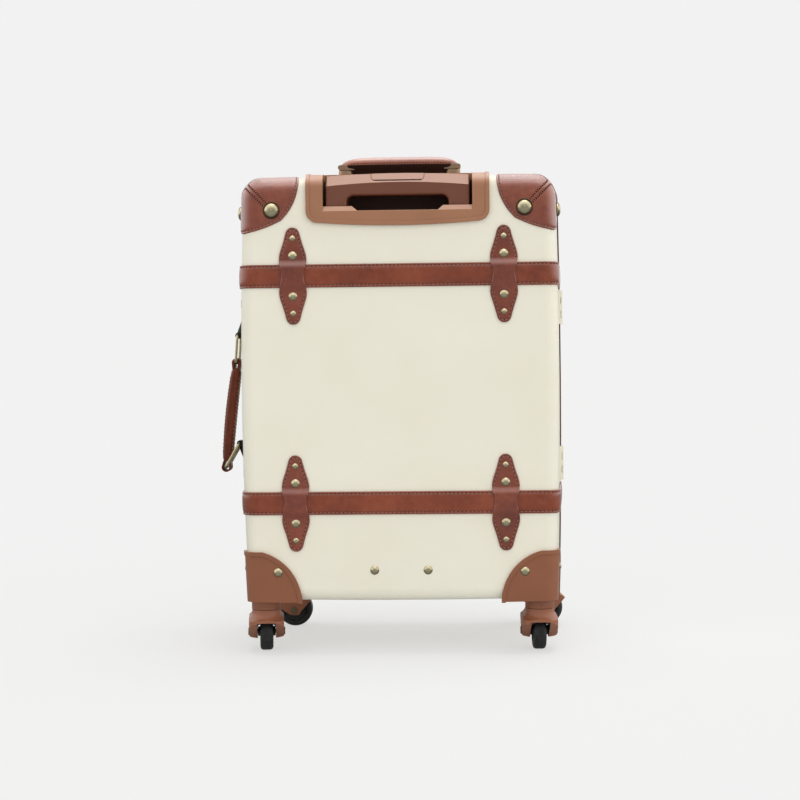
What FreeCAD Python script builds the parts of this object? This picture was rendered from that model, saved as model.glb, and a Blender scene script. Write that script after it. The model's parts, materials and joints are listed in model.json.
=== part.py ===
"""Retro hard-sided cabin trolley case, built as separate pieces in one frame.

Units are millimetres. X runs across the case, +Y from the back (trolley side) to the
front (lid side), +Z up. The origin lies on the floor below the middle of the case.
The back half is the body; the front half is the lid, hinged on the +X side.
"""
import math
import os

import FreeCAD
import Part

V = FreeCAD.Vector
os.makedirs("parts", exist_ok=True)

# Case shell
HALF_DEPTH = 114.0
BACK_HALF_WIDTH = 178.2
SEAM_HALF_WIDTH = 186.0
BACK_HALF_HEIGHT = 238.3
SEAM_HALF_HEIGHT = 244.3
GROUND_GAP = 61.7
SIDE_CROWN_BACK = 6.0
SIDE_CROWN_SEAM = 3.0
END_CROWN = 2.0
CORNER_RADIUS = 24.0
BACK_EDGE_RADIUS = 14.0
WALL = 2.2
SEAM_GAP = 0.4
LINING_THICK = 1.0
LINING_SHORT = 0.2

# Seam rim, a channel that grips the edge of each half
RIM_PROUD = 1.6
RIM_WIDTH = 7.0
RIM_FLOOR = 1.4
RIM_LIP = 1.2

# Belts and keepers
BELT_THICK = 2.6
BELT_WIDTH = 26.0
BELT_ROUND = 0.7
UPPER_BELT_DROP = 110.6
LOWER_BELT_RISE = 110.8
BELT_END_GAP = 0.6
KEEPER_INSET = 60.2
KEEPER_THICK = 2.2
KEEPER_HALF_LENGTH = 54.2
KEEPER_WAIST = 12.4
KEEPER_WIDE = 15.5
KEEPER_WIDE_AT = 19.0
KEEPER_TIP = 7.8
KEEPER_TIP_RISE = 6.2
KEEPER_BELLY = 0.3
KEEPER_RAMP = 4.5
KEEPER_TOE = 0.5
KEEPER_CROWN = 0.5
KEEPER_BROW = 0.8
END_RIVET_AT = 42.0
INNER_RIVET_AT = 22.6

# Rivets and studs
SMALL_RIVET_RADIUS = 3.5
SMALL_RIVET_RISE = 1.7
LARGE_RIVET_RADIUS = 5.1
LARGE_RIVET_RISE = 2.3
RIVET_SHANK_RADIUS = 1.6
RIVET_SEAT = 0.25
RIVET_SHORT = 0.3
STUD_RING_RADIUS = 9.7
STUD_RING_RISE = 1.5
STUD_RING_GROOVE = 0.5
STUD_SINK = 0.8
STUD_DOME_RADIUS = 8.0
STUD_WALL = 1.6
STUD_DOME_RISE = 2.6
STUD_SHANK_RADIUS = 2.2

# Leather caps on the top corners
CAP_THICK = 1.8
CAP_ACROSS = 67.7
CAP_DOWN = 62.6
CAP_STRAIGHT = 6.0
CAP_LONG_ACROSS = 61.5
CAP_LONG_DOWN = 29.5
CAP_NOTCH_ACROSS = 47.6
CAP_NOTCH_DOWN = 48.4
CAP_SHORT_ACROSS = 29.0
CAP_SHORT_DOWN = 56.6
STUD_INSET = 37.0

# Overruns of the cutting shapes, and how close two places count as the same
OUTSIDE = 40.0
OVERRUN = 1.0
SAME = 0.01
ON_SKIN = 0.05

# Plastic corners at the bottom
FOOT_THICK = 2.4
FOOT_BEAD_RISE = 0.9
FOOT_BEAD_WIDTH = 4.5
FOOT_HEIGHT = 56.0
FOOT_FLAT = 21.0
FOOT_REACH = 66.0
FOOT_BULGE_ACROSS = 50.5
FOOT_BULGE_UP = 38.0
FOOT_BULGE_INSET = 0.8
FOOT_RIVET_SIDE = 39.5
FOOT_RIVET_UP = 33.0

# Casters
CASTER_SIDE_INSET = 22.2
CASTER_INSET = 25.0
SOCKET_RADIUS = 16.5
SOCKET_DROP = 11.3
FORK_GAP = 0.5
STEM_RADIUS = 4.5
STEM_FIT = 0.06
STEM_ROOT = 1.0
STEM_REACH = 6.6
STEM_END_GAP = 0.5
FORK_WIDTH = 40.0
FORK_NECK_INSET = 0.4
FORK_NECK = 2.4
FORK_FLARE = 10.0
FORK_SHOULDER_DROP = 16.9
FORK_LEG_RADIUS = 8.0
FORK_HOOD_RADIUS = 26.0
FORK_HOOD_START = 74.0
FORK_HOOD_END = 32.0
FORK_HEEL_ANGLE = -20.0
FORK_TOE_ANGLE = -150.0
FORK_NOSE = 20.5
FORK_NOSE_DROP = 14.9
FORK_NOSE_ROUND = 12.0
FORK_TAPER_DROP = 4.4
FORK_TAPER = 1.8
FORK_TOE_RISE = 2.2
FORK_POCKET_ROUND = 4.0
FORK_ARCH_RISE = 14.3
FORK_ARCH_ROUND = 6.0
FORK_BELL_RADIUS = 48.0
FORK_BELL_SPARE = 0.6
WHEEL_RADIUS = 21.5
WHEEL_WIDTH = 15.0
WHEEL_EDGE = 3.4
WHEEL_EDGE_MID = 1.02
WHEEL_RECESS_RADIUS = 14.0
WHEEL_RECESS_FLARE = 1.0
WHEEL_RECESS = 1.6
WHEEL_HUB_RADIUS = 5.5
WHEEL_SIDE_GAP = 3.0
HUB_SIDE_GAP = 0.4
WHEEL_TOP_GAP = 2.2
TRAIL = 15.0
AXLE_RADIUS = 2.5
AXLE_FIT = 0.06
AXLE_HEAD_RADIUS = 4.2
AXLE_HEAD = 1.2
TURN_BACK_LEFT = 6.5
TURN_BACK_RIGHT = 1.5
TURN_FRONT_LEFT = -90.0
TURN_FRONT_RIGHT = -83.0

# Trolley housing and its pan
HOUSING_HALF_WIDTH = 102.5
HOUSING_DROP = 55.3
HOUSING_CORNER = 13.0
HOUSING_BOW = 3.8
HOUSING_PROUD = 3.4
HOUSING_BEAD = 1.0
HOUSING_BEAD_WIDTH = 4.2
WINDOW_HALF_WIDTH = 83.5
SILL_DROP = 33.3
DIP_DEPTH = 5.2
DIP_HALF_WIDTH = 45.0
DIP_SLOPE = 6.0
SILL_BEVEL = 5.5
PAN_DEPTH = 33.0
PAN_WALL = 2.0
PAN_FLOOR_DROP = 1.8
HOUSING_TOP_REACH = 45.0

# Trolley tubes and grip
TUBE_X = 68.5
TUBE_INSET = 16.4
OUTER_TUBE_LONG = 23.0
OUTER_TUBE_SHORT = 15.0
TUBE_WALL = 1.2
TUBE_SLIP = 0.35
TUBE_CORNER = 4.0
TUBE_CORNER_SHARE = 0.6
OUTER_TUBE_RISE = 16.3
TUBE_STEP = 6.0
MID_TUBE_PROUD = 3.5
INNER_TUBE_ENTRY = 20.5
TUBE_BASE_FLOOR = 2.0
BASE_RIVET_UP = 20.5
TUBE_BASE_HEIGHT = 34.0
TUBE_BASE_WALL = 3.0
BASE_RIVET_X = 30.0
GRIP_HALF_WIDTH = 80.4
GRIP_INSET = 1.6
GRIP_BACK_GAP = 0.8
GRIP_DEPTH = 28.4
GRIP_SINK = 1.5
GRIP_SHOULDER_RISE = 24.0
GRIP_HEIGHT = 39.1
GRIP_ARCH = 2.6
GRIP_SLOPE = 14.4
GRIP_HOLLOW = 4.2
GRIP_FRONT_ROUND = 5.0
GRIP_EDGE = 2.0
HAND_HOLE_HALF_WIDTH = 57.0
HAND_HOLE_HEIGHT = 13.9
HAND_HOLE_CORNER = 8.0
HAND_HOLE_ROUND = 3.0
BUTTON_HALF_WIDTH = 29.6
BUTTON_INSET = 6.2
BUTTON_DEPTH = 14.2
BUTTON_CORNER = 5.0
BUTTON_GAP = 0.4
BUTTON_HEIGHT = 8.0
BUTTON_PROUD = 0.2
BUTTON_WELL = 13.0
COVER_HALF_WIDTH = 88.0
COVER_DEPTH = 34.0
COVER_WALL = 1.4
COVER_RISE = 12.3

# Top carry handle, lifting on two shoulder screws
TOP_HANDLE_INSET = 75.0
LUG_X = 64.6
LUG_RISE = 20.1
LUG_THICK = 5.8
LUG_RADIUS = 6.4
LUG_HALF_WIDTH = 9.0
STRAP_THICK = 2.0
STRAP_HALF_WIDTH = 8.0
TOP_BAR_HALF_LENGTH = 68.0
TOP_BAR_CROWN = 9.0
TOP_BAR_THICK = 17.6
TOP_BAR_SAG = 0.8
TOP_BAR_NOSE_ALONG = 0.72
TOP_BAR_NOSE_UP = 0.7
TOP_BAR_SPARE = 0.1
TOP_BAR_FLAT = 42.0
TOP_BAR_HEEL = 56.0
TOP_BAR_HALF_WIDTH = 14.0
TOP_BAR_UNDER_WIDTH = 8.5
SCREW_RADIUS = 3.0
SCREW_FIT = 0.08
SCREW_SHORT = 1.74
SCREW_HEAD_RADIUS = 6.0
SCREW_HEAD = 3.0
TOP_HANDLE_LIFT = 16.0
COLLAR_RADIUS = 9.5
COLLAR_FLANGE = 2.2
COLLAR_BRIM = 0.88
COLLAR_NECK = 6.65
COLLAR_ROOT = 3.0
WELL_RADIUS = 8.4
WELL_BORE = 6.6
WELL_FLOOR = 1.6
WELL_PLAY = 0.6
WELL_SPARE = 1.0

# Side carry handle, a bar on two rings
SIDE_HANDLE_INSET = 57.0
RING_PIVOT_OUT = 5.3
RING_PIVOT_UP = 62.4
RING_PIVOT_DOWN = 62.2
RING_ARM = 31.5
RING_WIRE = 1.6
RING_HALF_WIDTH = 15.0
RING_CORNER = 4.0
RING_FIT = 0.06
UPPER_RING_ANGLE = 4.2
LOWER_RING_ANGLE = 30.1
KNUCKLE_RADIUS = 3.5
KNUCKLE_HALF_LENGTH = 6.5
BRACKET_THICK = 1.5
BRACKET_HALF_WIDTH = 11.0
BRACKET_LONG = 24.0
BRACKET_SHORT = 8.0
BRACKET_TIP = 4.0
BRACKET_TAPER_AT = 4.0
BRACKET_RIVET_AT = 13.0
SIDE_BAR_THICK = 11.0
SIDE_BAR_HALF_WIDTH = 11.5
SIDE_LOOP_RADIUS = 5.6
SIDE_LOOP_SLIP = 0.3
SIDE_LOOP_INSET = 1.5
SIDE_NECK_HALF = 3.41
OPEN_LOOP_SLIP = 1.9
SIDE_BAR_STEP = 7.0
SIDE_BAR_ROUND = 3.2

# Lid hinges
HINGE_OUT = 2.9
HINGE_SPREAD = 92.0
HINGE_LENGTH = 40.0
HINGE_BARREL = 1.15
HINGE_PIN = 0.6
HINGE_FIT = 0.06
HINGE_LEAF_REACH = 28.0
HINGE_STRAP = 0.6
HINGE_KNUCKLES = 5
HINGE_KNUCKLE_GAP = 0.3
HINGE_CLEAR = 1.6
HINGE_WEB_BACK = 0.5
HINGE_WEB_GAP = 0.3

# Latches
LATCH_SPREAD = 100.0
LATCH_HALF_WIDTH = 9.0
LATCH_PLATE = 1.6
LATCH_AXIS_Y = 17.0
LATCH_AXIS_OUT = 4.6
LATCH_BARREL = 2.6
LATCH_PIN = 1.2
LATCH_PIN_SEAT = 1.0
LATCH_FIT = 0.06
LATCH_THICK = 1.6
LATCH_REACH = 15.0
LATCH_PLATE_REACH = 25.0
LATCH_GAP = 0.4

SLOPE_X = (SEAM_HALF_WIDTH - BACK_HALF_WIDTH) / HALF_DEPTH
SLOPE_Z = (SEAM_HALF_HEIGHT - BACK_HALF_HEIGHT) / HALF_DEPTH
BACK_Y = -HALF_DEPTH
BOTTOM_Z = GROUND_GAP
MID_Z = BOTTOM_Z + BACK_HALF_HEIGHT
TOP_Z = MID_Z + BACK_HALF_HEIGHT
SEAM_EDGE_Y = -SEAM_GAP / 2.0
SHELL_EDGE_Y = SEAM_EDGE_Y - RIM_FLOOR
RIM_END_Y = SEAM_EDGE_Y - RIM_WIDTH
TRIM_END_Y = RIM_END_Y - BELT_END_GAP

# Places that follow from the sizes above
UPPER_BELT_Z = TOP_Z - UPPER_BELT_DROP
LOWER_BELT_Z = BOTTOM_Z + LOWER_BELT_RISE
KEEPER_X = BACK_HALF_WIDTH - KEEPER_INSET
CASTER_X = BACK_HALF_WIDTH - CASTER_SIDE_INSET
CASTER_Y = HALF_DEPTH - CASTER_INSET
SOCKET_BOTTOM_Z = BOTTOM_Z - SOCKET_DROP
STEM_TOP_Z = SOCKET_BOTTOM_Z + STEM_REACH
FORK_CROWN_Z = SOCKET_BOTTOM_Z - FORK_GAP
FORK_NECK_RADIUS = SOCKET_RADIUS - FORK_NECK_INSET
FORK_SHOULDER_Z = FORK_CROWN_Z - FORK_SHOULDER_DROP
FORK_FLARE_Z = FORK_CROWN_Z - FORK_NECK - FORK_FLARE
FORK_ARCH_Z = WHEEL_RADIUS + FORK_ARCH_RISE
FORK_TAPER_Z = WHEEL_RADIUS - FORK_TAPER_DROP
HOUSING_BOTTOM_Z = TOP_Z - HOUSING_DROP
SILL_Z = TOP_Z - SILL_DROP
DIP_Z = SILL_Z - DIP_DEPTH
PAN_FLOOR_Z = DIP_Z - PAN_FLOOR_DROP
TUBE_Y = BACK_Y + TUBE_INSET
OUTER_TUBE_BOTTOM_Z = BOTTOM_Z + OUTER_TUBE_RISE
MID_TUBE_BOTTOM_Z = OUTER_TUBE_BOTTOM_Z + TUBE_STEP
INNER_TUBE_BOTTOM_Z = MID_TUBE_BOTTOM_Z + TUBE_STEP
TUBE_BASE_LOW_Z = OUTER_TUBE_BOTTOM_Z - TUBE_BASE_FLOOR
TUBE_BASE_Z = TUBE_BASE_LOW_Z + BASE_RIVET_UP
GRIP_BACK_Y = BACK_Y + GRIP_INSET
GRIP_FRONT_Y = GRIP_BACK_Y + GRIP_DEPTH
GRIP_BOTTOM_Z = SILL_Z - GRIP_SINK
GRIP_SHOULDER_Z = GRIP_BOTTOM_Z + GRIP_SHOULDER_RISE
GRIP_TOP_Z = GRIP_BOTTOM_Z + GRIP_HEIGHT
MID_TUBE_TOP_Z = PAN_FLOOR_Z + MID_TUBE_PROUD
INNER_TUBE_TOP_Z = GRIP_BOTTOM_Z + INNER_TUBE_ENTRY
HAND_HOLE_TOP_Z = GRIP_BOTTOM_Z + HAND_HOLE_HEIGHT
BUTTON_BACK_Y = GRIP_BACK_Y + BUTTON_INSET
BUTTON_FRONT_Y = BUTTON_BACK_Y + BUTTON_DEPTH
COVER_FRONT_Y = BACK_Y + COVER_DEPTH
COVER_BOTTOM_Z = BOTTOM_Z + COVER_RISE
TOP_HANDLE_Y = BACK_Y + TOP_HANDLE_INSET
LUG_TOP_Z = TOP_Z + LUG_RISE
TOP_BAR_EDGE_Z = LUG_TOP_Z
TOP_BAR_TOP_Z = TOP_BAR_EDGE_Z + TOP_BAR_CROWN
SIDE_HANDLE_Y = BACK_Y + SIDE_HANDLE_INSET
RING_PIVOT_X = -(SEAM_HALF_WIDTH + SLOPE_X * SIDE_HANDLE_Y + RING_PIVOT_OUT)
UPPER_PIVOT_Z = MID_Z + RING_PIVOT_UP
LOWER_PIVOT_Z = MID_Z - RING_PIVOT_DOWN
HINGE_AXIS_X = SEAM_HALF_WIDTH + HINGE_OUT
HINGE_Z = (MID_Z - HINGE_SPREAD, MID_Z + HINGE_SPREAD)
LATCH_Z = (MID_Z - LATCH_SPREAD, MID_Z + LATCH_SPREAD)


def box(x0, x1, y0, y1, z0, z1):
    """Axis-aligned block between two opposite corners."""
    return Part.makeBox(x1 - x0, y1 - y0, z1 - z0, V(x0, y0, z0))


def cylinder(radius, start, end):
    """Round bar from one point to another."""
    along = V(*end) - V(*start)
    return Part.makeCylinder(radius, along.Length, V(*start), along)


def mirror_x(shape):
    return shape.mirror(V(0, 0, 0), V(1, 0, 0))


def mirror_y(shape):
    return shape.mirror(V(0, 0, 0), V(0, 1, 0))


def arc(start, middle, end):
    return Part.Arc(V(*start), V(*middle), V(*end)).toShape()


def line(start, end):
    return Part.makeLine(V(*start), V(*end))


def fuse(shapes):
    """One solid from touching or overlapping solids."""
    return shapes[0].multiFuse(shapes[1:]).removeSplitter()


def group(shapes):
    """Several separate solids kept as one compound."""
    solids = []
    for shape in shapes:
        solids.extend(shape.Solids)
    return Part.makeCompound(solids)


def prism(edges, along):
    """Solid swept straight from a closed flat outline."""
    wire = Part.Wire(Part.__sortEdges__(edges))
    return Part.Face(wire).extrude(V(*along))


def polygon(points, along):
    return Part.Face(Part.makePolygon([V(*p) for p in points + points[:1]])).extrude(V(*along))


def revolve(points, origin, along):
    """Turned piece from (radius, height) points, standing on origin along a direction."""
    outline = Part.makePolygon([V(r, 0, h) for r, h in points + points[:1]])
    solid = Part.Face(outline).revolve(V(0, 0, 0), V(0, 0, 1), 360)
    return place_along(solid, origin, along)


def place_along(solid, origin, along):
    """Stand a piece modelled about +Z on a point, pointing along a direction."""
    turn = FreeCAD.Rotation(V(0, 0, 1), V(*along))
    solid.Placement = FreeCAD.Placement(V(*origin), turn)
    return solid


def export(node, shape):
    shape.exportStep("parts/" + node + ".step")


def case_outline(offset, y):
    """Four crowned sides of the case at one depth, grown by an offset."""
    half_width = SEAM_HALF_WIDTH + offset + SLOPE_X * y
    half_height = SEAM_HALF_HEIGHT + offset + SLOPE_Z * y
    blend = min(max(-y / HALF_DEPTH, 0.0), 1.0)
    crown = SIDE_CROWN_SEAM + (SIDE_CROWN_BACK - SIDE_CROWN_SEAM) * blend
    corner_x = half_width - crown
    corner_z = half_height - END_CROWN
    low = MID_Z - corner_z
    high = MID_Z + corner_z
    return Part.Wire([
        arc((-corner_x, y, low), (0, y, MID_Z - half_height), (corner_x, y, low)),
        arc((corner_x, y, low), (half_width, y, MID_Z), (corner_x, y, high)),
        arc((corner_x, y, high), (0, y, MID_Z + half_height), (-corner_x, y, high)),
        arc((-corner_x, y, high), (-half_width, y, MID_Z), (-corner_x, y, low)),
    ])


BLOCKS = {}


def case_block(offset, seam_y=0.0):
    """Drafted, rounded back half of the case as a full block, grown by an offset."""
    key = (offset, seam_y)
    if key in BLOCKS:
        return BLOCKS[key]
    far_y = BACK_Y - offset
    block = Part.makeLoft([case_outline(offset, far_y), case_outline(offset, seam_y)], True, True)
    corners = [e for e in block.Edges if edge_spans(e, far_y, seam_y)]
    block = block.makeFillet(CORNER_RADIUS + offset, corners)
    rear = [e for e in block.Edges if edge_lies(e, far_y)]
    block = block.makeFillet(BACK_EDGE_RADIUS + offset, rear)
    BLOCKS[key] = block
    return block


def foot_block(offset):
    """Back half with square lower corners, rounded only along its upright back edges."""
    far_y = BACK_Y - offset
    block = Part.makeLoft([case_outline(offset, far_y), case_outline(offset, 0.0)], True, True)
    upright = [e for e in block.Edges if edge_lies(e, far_y) and e.BoundBox.ZLength > BACK_HALF_HEIGHT]
    return block.makeFillet(BACK_EDGE_RADIUS + offset, upright)


def edge_spans(edge, y0, y1):
    low = edge.BoundBox.YMin
    high = edge.BoundBox.YMax
    return abs(low - min(y0, y1)) < SAME and abs(high - max(y0, y1)) < SAME


def edge_lies(edge, y):
    return abs(edge.BoundBox.YMin - y) < SAME and abs(edge.BoundBox.YMax - y) < SAME


def skin(inner, outer, y0, y1):
    """Layer of the back half between two offsets, cut to a depth range."""
    reach = SEAM_HALF_HEIGHT + OUTSIDE
    keep = box(-reach, reach, y0, y1, MID_Z - reach, MID_Z + reach)
    return case_block(outer).common(keep).cut(case_block(inner))


def wall_x(y, z, offset=0.0):
    """Half width of the case surface at a depth and height, y negative."""
    blend = -y / HALF_DEPTH
    crown = SIDE_CROWN_SEAM + (SIDE_CROWN_BACK - SIDE_CROWN_SEAM) * blend
    drop = crown * ((z - MID_Z) / SEAM_HALF_HEIGHT) ** 2
    return SEAM_HALF_WIDTH + SLOPE_X * y + offset - drop


def roof_z(x, y):
    """Height of the case top at a point, y negative."""
    drop = END_CROWN * (x / SEAM_HALF_WIDTH) ** 2
    return MID_Z + SEAM_HALF_HEIGHT + SLOPE_Z * y - drop


def dome(radius, rise, origin, along, shank_radius, shank_length):
    """Domed head on a shank; the head's flat underside stands on origin."""
    ball = (radius * radius + rise * rise) / (2.0 * rise)
    top = V(0, 0, rise)
    rim = V(radius, 0, 0)
    half = 0.5 * math.asin(radius / ball)
    middle = V(ball * math.sin(half), 0, rise - ball + ball * math.cos(half))
    edges = [
        Part.Arc(top, middle, rim).toShape(),
        Part.makeLine(rim, V(shank_radius, 0, 0)),
        Part.makeLine(V(shank_radius, 0, 0), V(shank_radius, 0, -shank_length)),
        Part.makeLine(V(shank_radius, 0, -shank_length), V(0, 0, -shank_length)),
        Part.makeLine(V(0, 0, -shank_length), top),
    ]
    solid = Part.Face(Part.Wire(edges)).revolve(V(0, 0, 0), V(0, 0, 1), 360)
    return place_along(solid, origin, along)


def stud(origin, along, shank_length):
    """Large domed button on its seat ring, in one piece."""
    ball = (STUD_DOME_RADIUS ** 2 + STUD_DOME_RISE ** 2) / (2.0 * STUD_DOME_RISE)
    groove = STUD_RING_GROOVE * STUD_RING_RISE
    brow = V(STUD_DOME_RADIUS, 0, groove + STUD_WALL)
    top = V(0, 0, brow.z + STUD_DOME_RISE)
    half = 0.5 * math.asin(STUD_DOME_RADIUS / ball)
    middle = V(ball * math.sin(half), 0, top.z - ball + ball * math.cos(half))
    crest = 0.5 * (STUD_DOME_RADIUS + STUD_RING_RADIUS)
    corners = [
        brow, V(STUD_DOME_RADIUS, 0, groove), V(crest, 0, STUD_RING_RISE),
        V(STUD_RING_RADIUS, 0, groove), V(STUD_RING_RADIUS, 0, -STUD_SINK),
        V(STUD_SHANK_RADIUS, 0, -STUD_SINK), V(STUD_SHANK_RADIUS, 0, -shank_length),
        V(0, 0, -shank_length), top,
    ]
    edges = [Part.Arc(top, middle, brow).toShape()]
    for start, end in zip(corners, corners[1:]):
        edges.append(Part.makeLine(start, end))
    solid = Part.Face(Part.Wire(edges)).revolve(V(0, 0, 0), V(0, 0, 1), 360)
    return place_along(solid, origin, along)


def cap_edges(to_point):
    """Two-petal outline of a leather cap; to_point turns corner distances into a point."""
    far = -OUTSIDE
    p = to_point
    notch = p(CAP_NOTCH_ACROSS, CAP_NOTCH_DOWN)
    return [
        line(p(far, far), p(CAP_ACROSS, far)),
        line(p(CAP_ACROSS, far), p(CAP_ACROSS, CAP_STRAIGHT)),
        arc(p(CAP_ACROSS, CAP_STRAIGHT), p(CAP_LONG_ACROSS, CAP_LONG_DOWN), notch),
        arc(notch, p(CAP_SHORT_ACROSS, CAP_SHORT_DOWN), p(CAP_STRAIGHT, CAP_DOWN)),
        line(p(CAP_STRAIGHT, CAP_DOWN), p(far, CAP_DOWN)),
        line(p(far, CAP_DOWN), p(far, far)),
    ]


def foot_edges(to_point, inset=0.0):
    """Outline of a plastic corner, inset for the inner side of its raised border."""
    far = -OUTSIDE
    p = to_point
    top = FOOT_HEIGHT - inset
    side = FOOT_REACH - inset
    bulge = p(FOOT_BULGE_ACROSS - FOOT_BULGE_INSET * inset, FOOT_BULGE_UP - FOOT_BULGE_INSET * inset)
    return [
        line(p(far, far), p(side, far)),
        line(p(side, far), p(side, 0.0)),
        arc(p(side, 0.0), bulge, p(FOOT_FLAT, top)),
        line(p(FOOT_FLAT, top), p(far, top)),
        line(p(far, top), p(far, far)),
    ]


def corner_region(edges_for, corner_z, up, side_share=1.0):
    """Space that three outlines, seen from back, side and end, share round the -X corner.

    side_share shortens the side outline along the depth so that it meets the end outline.
    """
    reach = 2.0 * OUTSIDE + CAP_ACROSS
    side = -BACK_HALF_WIDTH
    seen_back = prism(edges_for(lambda a, b: (side + a, BACK_Y - OUTSIDE, corner_z + up * b)), (0, reach, 0))
    seen_side = prism(edges_for(lambda a, b: (side - OUTSIDE, BACK_Y + side_share * a, corner_z + up * b)),
                      (reach, 0, 0))
    end_z = corner_z - up * OUTSIDE
    seen_end = prism(edges_for(lambda a, b: (side + a, BACK_Y + b, end_z)), (0, 0, up * reach))
    return seen_back.common(seen_side).common(seen_end)


def keeper_points():
    """Half outline of a keeper as (half width, distance from the belt centre)."""
    taper = KEEPER_HALF_LENGTH - KEEPER_TIP_RISE
    return [
        (KEEPER_WAIST, 0.0),
        (KEEPER_WIDE, KEEPER_WIDE_AT),
        (0.5 * (KEEPER_WIDE + KEEPER_TIP) + KEEPER_BELLY, 0.5 * (KEEPER_WIDE_AT + taper)),
        (KEEPER_TIP, taper),
    ]


def keeper(x, z):
    """Stitched leather keeper that bridges the belt on the back face."""
    points = keeper_points()
    right = [V(x + w, 0, z - d) for w, d in reversed(points[1:])]
    right += [V(x + w, 0, z + d) for w, d in points]
    left = [V(2.0 * x - p.x, 0, p.z) for p in right]
    edges = []
    for side in (right, left):
        curve = Part.BSplineCurve()
        curve.interpolate(side)
        edges.append(curve.toShape())
    for sign in (1.0, -1.0):
        shoulder = z + sign * points[-1][1]
        edges.append(arc((x + KEEPER_TIP, 0, shoulder), (x, 0, z + sign * KEEPER_HALF_LENGTH),
                         (x - KEEPER_TIP, 0, shoulder)))
    outline = prism(edges, (0, -OUTSIDE, 0))
    outline.translate(V(0, BACK_Y + WALL, 0))
    half_belt = 0.5 * BELT_WIDTH
    foot = half_belt + KEEPER_RAMP
    toe = foot + KEEPER_TOE
    flat = BACK_Y - KEEPER_THICK
    crest = BACK_Y - BELT_THICK - KEEPER_THICK - KEEPER_CROWN
    brow = crest + KEEPER_BROW
    end = KEEPER_HALF_LENGTH + OVERRUN
    start_x = x - KEEPER_WIDE - OVERRUN
    section = [
        line((start_x, BACK_Y, z - end), (start_x, BACK_Y, z - foot)),
        line((start_x, BACK_Y, z - foot), (start_x, BACK_Y - BELT_THICK, z - half_belt)),
        line((start_x, BACK_Y - BELT_THICK, z - half_belt), (start_x, BACK_Y - BELT_THICK, z + half_belt)),
        line((start_x, BACK_Y - BELT_THICK, z + half_belt), (start_x, BACK_Y, z + foot)),
        line((start_x, BACK_Y, z + foot), (start_x, BACK_Y, z + end)),
        line((start_x, BACK_Y, z + end), (start_x, flat, z + end)),
        line((start_x, flat, z + end), (start_x, flat, z + toe)),
        line((start_x, flat, z + toe), (start_x, brow, z + half_belt)),
        arc((start_x, brow, z + half_belt), (start_x, crest, z), (start_x, brow, z - half_belt)),
        line((start_x, brow, z - half_belt), (start_x, flat, z - toe)),
        line((start_x, flat, z - toe), (start_x, flat, z - end)),
        line((start_x, flat, z - end), (start_x, BACK_Y, z - end)),
    ]
    return prism(section, (2.0 * (KEEPER_WIDE + OVERRUN), 0, 0)).common(outline)


def keeper_places():
    return [(x, z) for x in (-KEEPER_X, KEEPER_X) for z in (LOWER_BELT_Z, UPPER_BELT_Z)]


def small_rivets_on_keepers():
    rivets = []
    for x, z in keeper_places():
        for step in (-END_RIVET_AT, END_RIVET_AT):
            rivets.append(dome(SMALL_RIVET_RADIUS, SMALL_RIVET_RISE, (x, BACK_Y - KEEPER_THICK, z + step),
                               (0, -1, 0), RIVET_SHANK_RADIUS, KEEPER_THICK + WALL - RIVET_SHORT))
    return rivets


def large_rivets_on_keepers():
    rivets = []
    for x, z in keeper_places():
        for step in (-INNER_RIVET_AT, INNER_RIVET_AT):
            rivets.append(dome(LARGE_RIVET_RADIUS, LARGE_RIVET_RISE, (x, BACK_Y - KEEPER_THICK, z + step),
                               (0, -1, 0), RIVET_SHANK_RADIUS, KEEPER_THICK + WALL - RIVET_SHORT))
    return rivets


def foot_rivets():
    """One rivet on the back and one on the side of each plastic corner."""
    z = BOTTOM_Z + FOOT_RIVET_UP
    side_y = BACK_Y + FOOT_RIVET_SIDE
    draft = math.atan(SLOPE_X)
    side_x = wall_x(side_y, z, FOOT_THICK) - RIVET_SEAT
    shank = FOOT_THICK + WALL - RIVET_SHORT
    rivets = []
    for sign in (-1.0, 1.0):
        back = (sign * (BACK_HALF_WIDTH - FOOT_RIVET_SIDE), BACK_Y - FOOT_THICK, z)
        outward = (sign * math.cos(draft), -math.sin(draft), 0)
        rivets.append(dome(LARGE_RIVET_RADIUS, LARGE_RIVET_RISE, back, (0, -1, 0), RIVET_SHANK_RADIUS, shank))
        rivets.append(dome(LARGE_RIVET_RADIUS, LARGE_RIVET_RISE, (sign * side_x, side_y, z), outward,
                           RIVET_SHANK_RADIUS, shank - RIVET_SEAT))
    return rivets


def cap_studs():
    """One large stud on the back and one on the side of each leather cap."""
    z = TOP_Z - STUD_INSET
    side_y = BACK_Y + STUD_INSET
    draft = math.atan(SLOPE_X)
    side_x = wall_x(side_y, z, CAP_THICK)
    shank = CAP_THICK + WALL - RIVET_SHORT
    studs = []
    for sign in (-1.0, 1.0):
        back = (sign * (BACK_HALF_WIDTH - STUD_INSET), BACK_Y - CAP_THICK, z)
        studs.append(stud(back, (0, -1, 0), shank))
        outward = (sign * math.cos(draft), -math.sin(draft), 0)
        studs.append(stud((sign * side_x, side_y, z), outward, shank))
    return studs


def top_cap():
    """Leather cap over the -X top corner of the back half."""
    region = corner_region(cap_edges, TOP_Z, -1.0, CAP_DOWN / CAP_ACROSS)
    return case_block(CAP_THICK).common(region).cut(case_block(0.0))


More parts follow.
